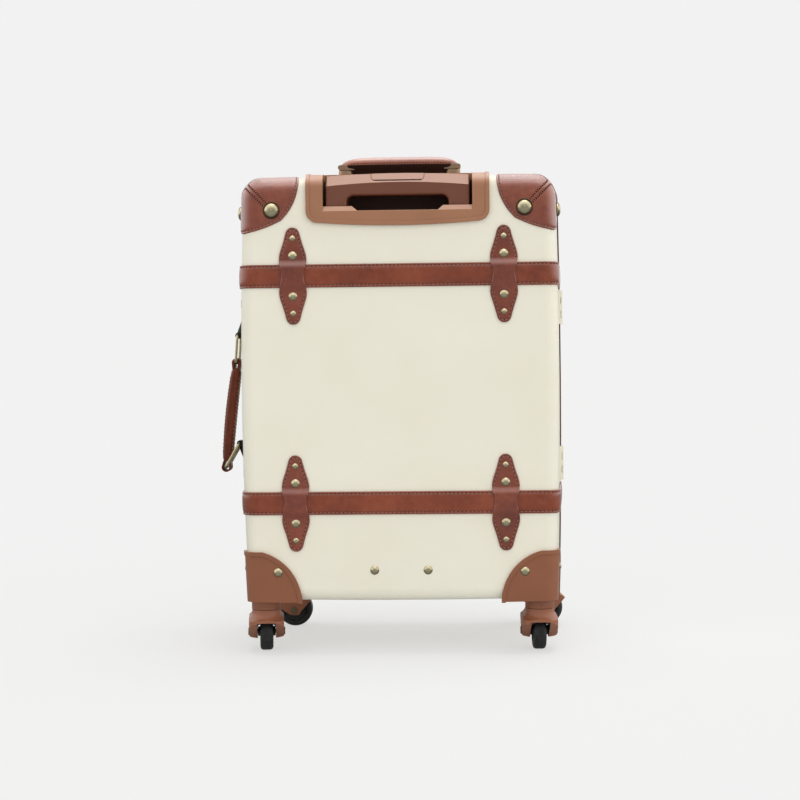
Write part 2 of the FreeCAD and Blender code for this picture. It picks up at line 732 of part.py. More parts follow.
def bottom_corner():
    """Square plastic corner over the -X bottom corner, with raised border and caster socket."""
    region = corner_region(foot_edges, BOTTOM_Z, 1.0)
    inside = corner_region(lambda p: foot_edges(p, FOOT_BEAD_WIDTH), BOTTOM_Z, 1.0)
    panel = foot_block(FOOT_THICK).common(region)
    border = foot_block(FOOT_THICK + FOOT_BEAD_RISE).common(region).cut(inside)
    top = BOTTOM_Z + CORNER_RADIUS
    socket = cylinder(SOCKET_RADIUS, (-CASTER_X, -CASTER_Y, SOCKET_BOTTOM_Z), (-CASTER_X, -CASTER_Y, top))
    bore = cylinder(STEM_RADIUS + STEM_FIT, (-CASTER_X, -CASTER_Y, SOCKET_BOTTOM_Z - OVERRUN),
                    (-CASTER_X, -CASTER_Y, STEM_TOP_Z + STEM_END_GAP))
    return fuse([panel, border, socket]).cut(case_block(0.0)).cut(bore)


def belt(z):
    """Belt over the back half: across the back and along both sides to the rim."""
    reach = SEAM_HALF_WIDTH + OUTSIDE
    low = z - 0.5 * BELT_WIDTH
    high = z + 0.5 * BELT_WIDTH
    keep = box(-reach, reach, BACK_Y - OUTSIDE, TRIM_END_Y, low, high)
    band = case_block(BELT_THICK).common(keep).cut(case_block(0.0))
    outer = [e for e in band.Edges if on_outer_edge(e, low, high)]
    return band.makeFillet(BELT_ROUND, outer)


def on_outer_edge(edge, low, high):
    """True for the long belt edges that lie on the outer surface."""
    bounds = edge.BoundBox
    level = abs(bounds.ZMin - bounds.ZMax) < SAME
    at_edge = min(abs(bounds.ZMin - low), abs(bounds.ZMin - high)) < SAME
    if not (level and at_edge) or bounds.YMin > TRIM_END_Y - OVERRUN:
        return False
    middle = edge.valueAt(0.5 * (edge.FirstParameter + edge.LastParameter))
    skin_distance = case_block(BELT_THICK).Shells[0].distToShape(Part.Vertex(middle))[0]
    return skin_distance < ON_SKIN


def housing_edges(inset, y):
    """U outline of the trolley housing on the back face, open towards the top."""
    half = HOUSING_HALF_WIDTH - inset
    low = HOUSING_BOTTOM_Z + inset
    high = TOP_Z + OUTSIDE
    bend = HOUSING_CORNER - inset
    tip = bend * (1.0 - math.sqrt(0.5))
    end = low + HOUSING_BOW
    return [
        line((-half, y, high), (-half, y, end + bend)),
        arc((-half, y, end + bend), (-half + tip, y, end + tip), (-half + bend, y, end)),
        arc((-half + bend, y, end), (0, y, low), (half - bend, y, end)),
        arc((half - bend, y, end), (half - tip, y, end + tip), (half, y, end + bend)),
        line((half, y, end + bend), (half, y, high)),
        line((half, y, high), (-half, y, high)),
    ]


def window_prism(depth):
    """Opening of the housing with its dipped sill, from outside to a depth."""
    y = BACK_Y - OUTSIDE
    high = TOP_Z + OUTSIDE
    outer_dip = DIP_HALF_WIDTH + DIP_SLOPE
    points = [
        (-WINDOW_HALF_WIDTH, y, high), (-WINDOW_HALF_WIDTH, y, SILL_Z), (-outer_dip, y, SILL_Z),
        (-DIP_HALF_WIDTH, y, DIP_Z), (DIP_HALF_WIDTH, y, DIP_Z), (outer_dip, y, SILL_Z),
        (WINDOW_HALF_WIDTH, y, SILL_Z), (WINDOW_HALF_WIDTH, y, high),
    ]
    return polygon(points, (0, OUTSIDE + depth, 0))


def tube_section(long_side, short_side, radius, z0, z1):
    """Rounded rectangular bar standing on the +X tube axis."""
    body = box(TUBE_X - 0.5 * long_side, TUBE_X + 0.5 * long_side,
               TUBE_Y - 0.5 * short_side, TUBE_Y + 0.5 * short_side, z0, z1)
    upright = [e for e in body.Edges if abs(e.BoundBox.ZLength - (z1 - z0)) < SAME]
    return body.makeFillet(radius, upright)


def tube_pair(shrink, z0, z1):
    """Two hollow tubes whose outside is smaller than the outer tube by shrink all round."""
    long_side = OUTER_TUBE_LONG - 2.0 * shrink
    short_side = OUTER_TUBE_SHORT - 2.0 * shrink
    radius = TUBE_CORNER - TUBE_CORNER_SHARE * shrink
    body = tube_section(long_side, short_side, radius, z0, z1)
    bore = tube_section(long_side - 2.0 * TUBE_WALL, short_side - 2.0 * TUBE_WALL,
                        radius - TUBE_CORNER_SHARE * TUBE_WALL, z0 - OVERRUN, z1 + OVERRUN)
    tube = body.cut(bore)
    return [tube, mirror_x(tube)]


def tube_slot(z0, z1):
    """Pair of bars the size of the outer tubes, for cutting their seats."""
    bar = tube_section(OUTER_TUBE_LONG, OUTER_TUBE_SHORT, TUBE_CORNER, z0, z1)
    return group([bar, mirror_x(bar)])


def trolley_housing():
    """Bezel on the back and top faces joined to the pan that the grip sinks into."""
    outer_y = BACK_Y - OUTSIDE
    deep = OUTSIDE + HOUSING_TOP_REACH
    region = prism(housing_edges(0.0, outer_y), (0, deep, 0))
    inner = prism(housing_edges(HOUSING_BEAD_WIDTH, outer_y), (0, deep - HOUSING_BEAD_WIDTH, 0))
    bezel = case_block(HOUSING_PROUD).common(region)
    bead = case_block(HOUSING_PROUD + HOUSING_BEAD).common(region).cut(inner)
    frame = fuse([bezel, bead]).cut(case_block(0.0))
    side = WINDOW_HALF_WIDTH + PAN_WALL
    front = BACK_Y + PAN_DEPTH + PAN_WALL
    pan = box(-side, side, outer_y, front, PAN_FLOOR_Z - PAN_WALL, TOP_Z + OUTSIDE)
    pan = pan.common(case_block(HOUSING_PROUD))
    hollow = box(-WINDOW_HALF_WIDTH, WINDOW_HALF_WIDTH, GRIP_BACK_Y - GRIP_BACK_GAP, front - PAN_WALL,
                 PAN_FLOOR_Z, TOP_Z + OUTSIDE)
    body = fuse([frame, pan]).cut(hollow).cut(window_prism(PAN_DEPTH))
    lip = BACK_Y - HOUSING_PROUD - HOUSING_BEAD - OVERRUN
    slope = SILL_BEVEL / HOUSING_PROUD
    wide = WINDOW_HALF_WIDTH
    bevel = polygon([
        (-wide, BACK_Y, SILL_Z + OVERRUN), (-wide, BACK_Y, SILL_Z),
        (-wide, lip, SILL_Z - slope * (BACK_Y - lip)), (-wide, lip, SILL_Z + OVERRUN),
    ], (2.0 * wide, 0, 0))
    slots = tube_slot(PAN_FLOOR_Z - PAN_WALL - OVERRUN, PAN_FLOOR_Z + OVERRUN)
    return body.cut(bevel).cut(slots)


def grip_block(grow):
    """Outer form of the grip, grown upwards for the button that follows its surface."""
    half = GRIP_HALF_WIDTH
    y = GRIP_BACK_Y - OUTSIDE
    seen_back = prism([
        line((-half, y, GRIP_BOTTOM_Z), (half, y, GRIP_BOTTOM_Z)),
        line((half, y, GRIP_BOTTOM_Z), (half, y, GRIP_TOP_Z - GRIP_ARCH + grow)),
        arc((half, y, GRIP_TOP_Z - GRIP_ARCH + grow), (0, y, GRIP_TOP_Z + grow),
            (-half, y, GRIP_TOP_Z - GRIP_ARCH + grow)),
        line((-half, y, GRIP_TOP_Z - GRIP_ARCH + grow), (-half, y, GRIP_BOTTOM_Z)),
    ], (0, 2.0 * OUTSIDE + PAN_DEPTH, 0))
    x = -half - OVERRUN
    top = GRIP_TOP_Z + grow
    shoulder = GRIP_SHOULDER_Z + grow
    bend = GRIP_FRONT_ROUND
    tip = bend * (1.0 - math.sqrt(0.5))
    seen_side = prism([
        line((x, GRIP_BACK_Y, GRIP_BOTTOM_Z), (x, GRIP_BACK_Y, shoulder)),
        line((x, GRIP_BACK_Y, shoulder), (x, GRIP_BACK_Y + GRIP_SLOPE, top)),
        line((x, GRIP_BACK_Y + GRIP_SLOPE, top), (x, GRIP_FRONT_Y - bend, top)),
        arc((x, GRIP_FRONT_Y - bend, top), (x, GRIP_FRONT_Y - tip, top - tip), (x, GRIP_FRONT_Y, top - bend)),
        line((x, GRIP_FRONT_Y, top - bend), (x, GRIP_FRONT_Y, GRIP_BOTTOM_Z)),
        line((x, GRIP_FRONT_Y, GRIP_BOTTOM_Z), (x, GRIP_BACK_Y, GRIP_BOTTOM_Z)),
    ], (2.0 * (half + OVERRUN), 0, 0))
    low = GRIP_BOTTOM_Z - OVERRUN
    seen_top = prism([
        arc((-half, GRIP_BACK_Y, low), (0, GRIP_BACK_Y + GRIP_HOLLOW, low), (half, GRIP_BACK_Y, low)),
        line((half, GRIP_BACK_Y, low), (half, GRIP_FRONT_Y, low)),
        line((half, GRIP_FRONT_Y, low), (-half, GRIP_FRONT_Y, low)),
        line((-half, GRIP_FRONT_Y, low), (-half, GRIP_BACK_Y, low)),
    ], (0, 0, OUTSIDE + top - low))
    return seen_back.common(seen_side).common(seen_top)


def button_prism(grow, z0, z1):
    """Rounded button outline seen from above, as an upright bar."""
    body = box(-BUTTON_HALF_WIDTH - grow, BUTTON_HALF_WIDTH + grow, BUTTON_BACK_Y - grow,
               BUTTON_FRONT_Y + grow, z0, z1)
    upright = [e for e in body.Edges if abs(e.BoundBox.ZLength - (z1 - z0)) < SAME]
    return body.makeFillet(BUTTON_CORNER + grow, upright)


def grip():
    """Trolley grip with hand hole, button well and tube sockets."""
    body = grip_block(0.0)
    ends = [e for e in body.Edges if abs(abs(e.CenterOfMass.x) - GRIP_HALF_WIDTH) < SAME]
    body = body.makeFillet(GRIP_EDGE, ends)
    hole = box(-HAND_HOLE_HALF_WIDTH, HAND_HOLE_HALF_WIDTH, GRIP_BACK_Y - OUTSIDE, GRIP_FRONT_Y + OUTSIDE,
               GRIP_BOTTOM_Z - OUTSIDE, HAND_HOLE_TOP_Z)
    shoulders = [e for e in hole.Edges if is_hole_shoulder(e)]
    body = body.cut(hole.makeFillet(HAND_HOLE_CORNER, shoulders))
    body = body.makeFillet(HAND_HOLE_ROUND, [e for e in body.Edges if is_hole_rim(e)])
    well = button_prism(BUTTON_GAP, GRIP_TOP_Z - BUTTON_WELL, GRIP_TOP_Z + OUTSIDE)
    shrink = 2.0 * (TUBE_WALL + TUBE_SLIP)
    socket = tube_section(OUTER_TUBE_LONG - 2.0 * shrink, OUTER_TUBE_SHORT - 2.0 * shrink,
                          TUBE_CORNER - TUBE_CORNER_SHARE * shrink, GRIP_BOTTOM_Z - OVERRUN, INNER_TUBE_TOP_Z)
    return body.cut(well).cut(socket).cut(mirror_x(socket))


def is_hole_shoulder(edge):
    middle = edge.CenterOfMass
    return abs(middle.z - HAND_HOLE_TOP_Z) < SAME and abs(abs(middle.x) - HAND_HOLE_HALF_WIDTH) < SAME


def is_hole_rim(edge):
    """True for the upper edges of the hand hole on the back of the grip."""
    middle = edge.CenterOfMass
    inside = abs(middle.x) < HAND_HOLE_HALF_WIDTH and middle.z < HAND_HOLE_TOP_Z + HAND_HOLE_ROUND
    upper = middle.z > HAND_HOLE_TOP_Z - HAND_HOLE_CORNER
    return inside and upper and middle.y < GRIP_BACK_Y + 2.0 * GRIP_HOLLOW


def release_button():
    top = GRIP_TOP_Z + BUTTON_PROUD
    body = button_prism(0.0, top - BUTTON_HEIGHT, top + OUTSIDE)
    return body.common(grip_block(BUTTON_PROUD))


def tube_base():
    """Plate with two sockets that ties the tube bottoms to the back wall."""
    inside = BACK_Y + WALL
    half = TUBE_X + 0.5 * OUTER_TUBE_LONG + TUBE_BASE_WALL
    low = TUBE_BASE_LOW_Z
    front = TUBE_Y + 0.5 * OUTER_TUBE_SHORT + TUBE_BASE_WALL
    body = box(-half, half, inside, front, low, low + TUBE_BASE_HEIGHT)
    clear = TUBE_X - 0.5 * OUTER_TUBE_LONG - TUBE_BASE_WALL
    waist = box(-clear, clear, inside + TUBE_BASE_WALL, front + OVERRUN, low - OVERRUN,
                low + TUBE_BASE_HEIGHT + OVERRUN)
    return body.cut(waist).cut(tube_slot(OUTER_TUBE_BOTTOM_Z, low + TUBE_BASE_HEIGHT + OVERRUN))


def base_rivets():
    return [dome(LARGE_RIVET_RADIUS, LARGE_RIVET_RISE, (sign * BASE_RIVET_X, BACK_Y, TUBE_BASE_Z), (0, -1, 0),
                 RIVET_SHANK_RADIUS, WALL + TUBE_BASE_WALL - RIVET_SHORT) for sign in (-1.0, 1.0)]


def tube_cover():
    """Channel inside the case that shuts the tubes off from the luggage."""
    inside = BACK_Y + WALL
    high = PAN_FLOOR_Z - PAN_WALL
    half = COVER_HALF_WIDTH
    body = box(-half, half, inside, COVER_FRONT_Y, COVER_BOTTOM_Z, high)
    hollow = box(-half + COVER_WALL, half - COVER_WALL, inside - OVERRUN, COVER_FRONT_Y - COVER_WALL,
                 COVER_BOTTOM_Z + COVER_WALL, high + 1.0)
    upright = [e for e in body.Edges if abs(e.BoundBox.ZLength - (high - COVER_BOTTOM_Z)) < SAME
               and abs(e.CenterOfMass.y - COVER_FRONT_Y) < SAME]
    return body.makeFillet(COVER_WALL * 2.0, upright).cut(hollow).common(case_block(-WALL))


def top_handle_core():
    """Two lugs joined by a bowed strap that runs inside the leather bar."""
    low = LUG_TOP_Z - LUG_THICK
    nose = 0.5 * LUG_THICK
    tip = LUG_X + LUG_RADIUS
    heel = LUG_X - 2.0 * LUG_RADIUS
    y = TOP_HANDLE_Y - LUG_HALF_WIDTH
    lug = prism([
        line((heel, y, low), (tip - nose, y, low)),
        arc((tip - nose, y, low), (tip, y, low + nose), (tip - nose, y, LUG_TOP_Z)),
        line((tip - nose, y, LUG_TOP_Z), (heel, y, LUG_TOP_Z)),
        line((heel, y, LUG_TOP_Z), (heel, y, low)),
    ], (0, 2.0 * LUG_HALF_WIDTH, 0))
    middle_z = LUG_TOP_Z
    end_z = LUG_TOP_Z - nose
    y = TOP_HANDLE_Y - STRAP_HALF_WIDTH
    half = 0.5 * STRAP_THICK
    strap = prism([
        arc((-heel - OVERRUN, y, end_z - half), (0, y, middle_z - half), (heel + OVERRUN, y, end_z - half)),
        line((heel + OVERRUN, y, end_z - half), (heel + OVERRUN, y, end_z + half)),
        arc((heel + OVERRUN, y, end_z + half), (0, y, middle_z + half), (-heel - OVERRUN, y, end_z + half)),
        line((-heel - OVERRUN, y, end_z + half), (-heel - OVERRUN, y, end_z - half)),
    ], (0, 2.0 * STRAP_HALF_WIDTH, 0))
    body = fuse([lug, mirror_x(lug), strap])
    for screw in top_handle_screws():
        body = body.cut(screw)
    return body


def well_floor_z():
    """Top of the well floor, low enough for the screw head to travel the full lift."""
    mouth = roof_z(LUG_X, TOP_HANDLE_Y)
    return mouth - TOP_HANDLE_LIFT - SCREW_HEAD - 2.0 * WELL_PLAY - WELL_SPARE


def top_handle_screws():
    """Shoulder screws whose heads travel in the wells below the top."""
    head = well_floor_z() + WELL_PLAY
    end = LUG_TOP_Z - SCREW_SHORT
    points = [
        (0.0, 0.0), (SCREW_HEAD_RADIUS, 0.0), (SCREW_HEAD_RADIUS, SCREW_HEAD), (SCREW_RADIUS, SCREW_HEAD),
        (SCREW_RADIUS, end - head), (0.0, end - head),
    ]
    return [revolve(points, (sign * LUG_X, TOP_HANDLE_Y, head), (0, 0, 1)) for sign in (-1.0, 1.0)]


def top_handle_bar():
    """Padded leather bar: crowned top, widest at its edge line, drawn in underneath."""
    edge_z = TOP_BAR_EDGE_Z
    top = TOP_BAR_TOP_Z
    low = top - TOP_BAR_THICK
    long = TOP_BAR_HALF_LENGTH
    flat = TOP_BAR_FLAT
    heel = TOP_BAR_HEEL
    y = TOP_HANDLE_Y - TOP_BAR_HALF_WIDTH - OVERRUN
    near = flat + TOP_BAR_NOSE_ALONG * (long - flat)
    near_z = edge_z + TOP_BAR_NOSE_UP * (top - TOP_BAR_SAG - edge_z)
    seen_back = prism([
        arc((-long, y, edge_z), (-near, y, near_z), (-flat, y, top - TOP_BAR_SAG)),
        arc((-flat, y, top - TOP_BAR_SAG), (0, y, top), (flat, y, top - TOP_BAR_SAG)),
        arc((flat, y, top - TOP_BAR_SAG), (near, y, near_z), (long, y, edge_z)),
        line((long, y, edge_z), (heel, y, low)),
        line((heel, y, low), (-heel, y, low)),
        line((-heel, y, low), (-long, y, edge_z)),
    ], (0, 2.0 * (TOP_BAR_HALF_WIDTH + OVERRUN), 0))
    wide = TOP_BAR_HALF_WIDTH
    narrow = TOP_BAR_UNDER_WIDTH
    x = -long - OVERRUN
    y = TOP_HANDLE_Y
    seen_end = prism([
        arc((x, y - wide, edge_z), (x, y, top + TOP_BAR_SPARE), (x, y + wide, edge_z)),
        line((x, y + wide, edge_z), (x, y + narrow, low)),
        line((x, y + narrow, low), (x, y - narrow, low)),
        line((x, y - narrow, low), (x, y - wide, edge_z)),
    ], (2.0 * (long + OVERRUN), 0, 0))
    bar = seen_back.common(seen_end).cut(top_handle_core())
    for screw in top_handle_screws():
        bar = bar.cut(screw)
    return bar


def handle_wells():
    """Closed cups below the top that hide the screw heads."""
    floor = well_floor_z()
    wells = []
    for sign in (-1.0, 1.0):
        x = sign * LUG_X
        cup = cylinder(WELL_RADIUS, (x, TOP_HANDLE_Y, floor - WELL_FLOOR), (x, TOP_HANDLE_Y, TOP_Z + OUTSIDE))
        bore = cylinder(WELL_BORE, (x, TOP_HANDLE_Y, floor), (x, TOP_HANDLE_Y, TOP_Z + 2.0 * OUTSIDE))
        wells.append(cup.common(case_block(0.0)).cut(bore))
    return wells


def handle_collars():
    """Flanged collars on the top face that guide the screws."""
    mouth = roof_z(LUG_X, TOP_HANDLE_Y)
    collars = []
    for sign in (-1.0, 1.0):
        x = sign * LUG_X
        points = [
            (SCREW_RADIUS + SCREW_FIT, -COLLAR_ROOT), (COLLAR_RADIUS, -COLLAR_ROOT),
            (COLLAR_RADIUS, COLLAR_BRIM), (COLLAR_NECK, COLLAR_FLANGE),
            (SCREW_RADIUS + SCREW_FIT, COLLAR_FLANGE),
        ]
        collar = revolve(points, (x, TOP_HANDLE_Y, mouth), (0, 0, 1))
        collars.append(collar.cut(case_block(0.0)))
    return collars


def ring(pivot_z, angle):
    """Rectangular wire ring hanging from its pivot, swung out from the wall by an angle."""
    half = RING_HALF_WIDTH
    bend = RING_CORNER
    tip = bend * (1.0 - math.sqrt(0.5))
    far = RING_ARM
    path = Part.Wire([
        line((0, 0, 0), (0, half - bend, 0)),
        arc((0, half - bend, 0), (0, half - tip, -tip), (0, half, -bend)),
        line((0, half, -bend), (0, half, -far + bend)),
        arc((0, half, -far + bend), (0, half - tip, -far + tip), (0, half - bend, -far)),
        line((0, half - bend, -far), (0, -half + bend, -far)),
        arc((0, -half + bend, -far), (0, -half + tip, -far + tip), (0, -half, -far + bend)),
        line((0, -half, -far + bend), (0, -half, -bend)),
        arc((0, -half, -bend), (0, -half + tip, -tip), (0, -half + bend, 0)),
        line((0, -half + bend, 0), (0, 0, 0)),
    ])
    circle = Part.Wire([Part.Circle(V(0, 0, 0), V(0, 1, 0), RING_WIRE).toShape()])
    wire = path.makePipeShell([circle], True, True)
    wire.rotate(V(0, 0, 0), V(0, 1, 0), angle)
    wire.translate(V(RING_PIVOT_X, SIDE_HANDLE_Y, pivot_z))
    return wire


def ring_end(pivot_z, angle):
    """Centre of the outer rod of a ring, as (x, z)."""
    swing = math.radians(angle)
    return (RING_PIVOT_X - RING_ARM * math.sin(swing), pivot_z - RING_ARM * math.cos(swing))


def side_bar():
    """Padded leather bar with a loop at each end for the rings."""
    top_x, top_z = ring_end(UPPER_PIVOT_Z, UPPER_RING_ANGLE)
    low_x, low_z = ring_end(LOWER_PIVOT_Z, LOWER_RING_ANGLE)
    length = math.hypot(top_x - low_x, top_z - low_z)
    tilt = math.degrees(math.atan2(top_x - low_x, top_z - low_z))
    half = SIDE_BAR_HALF_WIDTH
    thick = 0.5 * SIDE_BAR_THICK
    pad = box(-thick, thick, -half, half, -length + SIDE_BAR_STEP, -SIDE_BAR_STEP)
    pad = pad.makeFillet(SIDE_BAR_ROUND, pad.Edges)
    loop_half = half - SIDE_LOOP_INSET
    neck = box(-SIDE_NECK_HALF, SIDE_NECK_HALF, -loop_half, loop_half, -length, 0.0)
    loops = [cylinder(SIDE_LOOP_RADIUS, (0, -loop_half, z), (0, loop_half, z)) for z in (0.0, -length)]
    body = fuse([pad, neck] + loops)
    body = body.cut(cylinder(RING_WIRE + SIDE_LOOP_SLIP, (0, -half, 0), (0, half, 0)))
    body = body.cut(cylinder(RING_WIRE + OPEN_LOOP_SLIP, (0, -half, -length), (0, half, -length)))
    body.rotate(V(0, 0, 0), V(0, 1, 0), tilt)
    body.translate(V(top_x, SIDE_HANDLE_Y, top_z))
    return body


def side_bracket(pivot_z, away):
    """Riveted plate with a knuckle for one ring; away is +1 or -1 along Z."""
    y = SIDE_HANDLE_Y
    x = -SEAM_HALF_WIDTH - OUTSIDE
    near = pivot_z - away * BRACKET_SHORT
    far = pivot_z + away * BRACKET_LONG
    wide = BRACKET_HALF_WIDTH
    tip = BRACKET_TIP
    bend = pivot_z + away * BRACKET_TAPER_AT
    outline = prism([
        line((x, y - wide, near), (x, y + wide, near)),
        line((x, y + wide, near), (x, y + wide, bend)),
        line((x, y + wide, bend), (x, y + tip, far - away * tip)),
        arc((x, y + tip, far - away * tip), (x, y, far), (x, y - tip, far - away * tip)),
        line((x, y - tip, far - away * tip), (x, y - wide, bend)),
        line((x, y - wide, bend), (x, y - wide, near)),
    ], (2.0 * OUTSIDE, 0, 0))
    plate = case_block(BRACKET_THICK).common(outline)
    half = KNUCKLE_HALF_LENGTH
    barrel = cylinder(KNUCKLE_RADIUS, (RING_PIVOT_X, y - half, pivot_z), (RING_PIVOT_X, y + half, pivot_z))
    web = box(RING_PIVOT_X, RING_PIVOT_X + OUTSIDE, y - half, y + half,
              pivot_z - KNUCKLE_RADIUS, pivot_z + KNUCKLE_RADIUS)
    bore = cylinder(RING_WIRE + RING_FIT, (RING_PIVOT_X, y - 2.0 * half, pivot_z),
                    (RING_PIVOT_X, y + 2.0 * half, pivot_z))
    return fuse([plate, barrel, web]).cut(case_block(0.0)).cut(bore)


def bracket_rivets():
    rivets = []
    draft = math.atan(SLOPE_X)
    shank = BRACKET_THICK + WALL - RIVET_SEAT - RIVET_SHORT
    for z in (UPPER_PIVOT_Z + BRACKET_RIVET_AT, LOWER_PIVOT_Z - BRACKET_RIVET_AT):
        x = -wall_x(SIDE_HANDLE_Y, z, BRACKET_THICK) + RIVET_SEAT
        rivets.append(dome(SMALL_RIVET_RADIUS, SMALL_RIVET_RISE, (x, SIDE_HANDLE_Y, z),
                           (-math.cos(draft), -math.sin(draft), 0), RIVET_SHANK_RADIUS, shank))
    return rivets


def knuckle_range(z, index):
    """Lower and upper end of one hinge knuckle."""
    pitch = HINGE_LENGTH / HINGE_KNUCKLES
    low = z - 0.5 * HINGE_LENGTH + index * pitch
    return low + 0.5 * HINGE_KNUCKLE_GAP, low + pitch - 0.5 * HINGE_KNUCKLE_GAP


def hinge_leaf(z, indices, bore_radius):
    """Stepped leaf over shell and rim on the +X side, with its share of the knuckles."""
    low = z - 0.5 * HINGE_LENGTH
    high = z + 0.5 * HINGE_LENGTH
    reach = SEAM_HALF_WIDTH + OUTSIDE
    plate = case_block(RIM_PROUD).common(box(0, reach, RIM_END_Y - HINGE_LEAF_REACH, RIM_END_Y, low, high))
    strap = case_block(RIM_PROUD + HINGE_STRAP).common(
        box(0, reach, RIM_END_Y - HINGE_LEAF_REACH, -HINGE_CLEAR, low, high))
    body = fuse([plate.cut(case_block(0.0)), strap.cut(case_block(RIM_PROUD))])
    pieces = [body]
    bores = []
    for index in indices:
        z0, z1 = knuckle_range(z, index)
        pieces.append(cylinder(HINGE_BARREL, (HINGE_AXIS_X, 0, z0), (HINGE_AXIS_X, 0, z1)))
        web = box(0, HINGE_AXIS_X, -HINGE_CLEAR - HINGE_WEB_BACK, -HINGE_WEB_GAP, z0, z1)
        pieces.append(web.cut(case_block(RIM_PROUD)))
        bores.append(cylinder(bore_radius, (HINGE_AXIS_X, 0, z0 - HINGE_KNUCKLE_GAP),
                              (HINGE_AXIS_X, 0, z1 + HINGE_KNUCKLE_GAP)))
    solid = fuse(pieces)
    for bore in bores:
        solid = solid.cut(bore)
    return solid


def latch_plate(z):
    """Plate on the -X wall of a half, next to the rim."""
    reach = SEAM_HALF_WIDTH + OUTSIDE
    half = LATCH_HALF_WIDTH
    keep = box(-reach, 0, RIM_END_Y - LATCH_PLATE_REACH, RIM_END_Y, z - half, z + half)
    return case_block(LATCH_PLATE).common(keep).cut(case_block(0.0))


def latch_axis_x(z):
    return -wall_x(-LATCH_AXIS_Y, z, LATCH_AXIS_OUT)


def latch_mount(z):
    """Lid-side plate with two eyes and the pin of the hasp, modelled on the back half."""
    x = latch_axis_x(z)
    y = -LATCH_AXIS_Y
    inner = 0.5 * LATCH_HALF_WIDTH
    pieces = [latch_plate(z)]
    for z0, z1 in ((z - LATCH_HALF_WIDTH, z - inner), (z + inner, z + LATCH_HALF_WIDTH)):
        pieces.append(cylinder(LATCH_BARREL, (x, y, z0), (x, y, z1)))
        web = box(x, x + OUTSIDE, y - LATCH_BARREL, y + LATCH_BARREL, z0, z1)
        pieces.append(web.cut(case_block(0.5 * LATCH_PLATE)))
    pieces.append(cylinder(LATCH_PIN, (x, y, z - inner - LATCH_PIN_SEAT), (x, y, z + inner + LATCH_PIN_SEAT)))
    return fuse(pieces)


def latch_hasp(z):
    """Flip hasp that reaches from the lid over the seam, modelled in place."""
    x = latch_axis_x(z)
    inner = 0.5 * LATCH_HALF_WIDTH - LATCH_GAP
    barrel = cylinder(LATCH_BARREL, (x, LATCH_AXIS_Y, z - inner), (x, LATCH_AXIS_Y, z + inner))
    half = LATCH_HALF_WIDTH - LATCH_GAP
    clear = LATCH_AXIS_Y - LATCH_BARREL - LATCH_GAP
    outer_x = x - 0.5 * LATCH_BARREL
    blade = polygon([
        (outer_x, LATCH_AXIS_Y, z - inner), (outer_x, clear, z - inner), (outer_x, clear, z - half),
        (outer_x, -0.5 * LATCH_REACH, z - half), (outer_x, -LATCH_REACH, z - 0.5 * half),
        (outer_x, -LATCH_REACH, z + 0.5 * half), (outer_x, -0.5 * LATCH_REACH, z + half),
        (outer_x, clear, z + half), (outer_x, clear, z + inner), (outer_x, LATCH_AXIS_Y, z + inner),
    ], (LATCH_THICK, 0, 0))
    bore = cylinder(LATCH_PIN + LATCH_FIT, (x, LATCH_AXIS_Y, z - half), (x, LATCH_AXIS_Y, z + half))
    return fuse([barrel, blade]).cut(bore)


def on_wheel_circle(radius, degrees):
    """Point (along the trail, height) at an angle about the axle, level forwards being zero."""
    angle = math.radians(degrees)
    return TRAIL + radius * math.cos(angle), WHEEL_RADIUS + radius * math.sin(angle)


def fork_flare(side):
    """One edge of the fork seen from the front: straight neck that flares out in a quarter round."""
    neck = FORK_NECK_RADIUS
    low = FORK_FLARE_Z
    far = FORK_BELL_RADIUS
    reach = FORK_FLARE * (1.0 - math.sqrt(0.5))
    middle = (side * (neck + reach), 0, low + reach)
    return [
        line((side * far, 0, 0), (side * far, 0, low)),
        line((side * far, 0, low), (side * (neck + FORK_FLARE), 0, low)),
        arc((side * (neck + FORK_FLARE), 0, low), middle, (side * neck, 0, low + FORK_FLARE)),
        line((side * neck, 0, low + FORK_FLARE), (side * neck, 0, FORK_CROWN_Z + OVERRUN)),
    ]


def fork_turned():
    """Flared neck turned about the stem."""
    top = FORK_CROWN_Z + OVERRUN
    edges = fork_flare(1.0)
    edges.append(line((FORK_NECK_RADIUS, 0, top), (0, 0, top)))
    edges.append(line((0, 0, top), (0, 0, 0)))
    edges.append(line((0, 0, 0), (FORK_BELL_RADIUS, 0, 0)))
    return Part.Face(Part.Wire(Part.__sortEdges__(edges))).revolve(V(0, 0, 0), V(0, 0, 1), 360)


def fork_drawn():
    """Flared neck drawn straight back over the wheel."""
    top = FORK_CROWN_Z + OVERRUN
    far = FORK_BELL_RADIUS
    edges = fork_flare(1.0) + fork_flare(-1.0)
    edges.append(line((FORK_NECK_RADIUS, 0, top), (-FORK_NECK_RADIUS, 0, top)))
    edges.append(line((far, 0, 0), (-far, 0, 0)))
    return prism(edges, (0, far, 0))


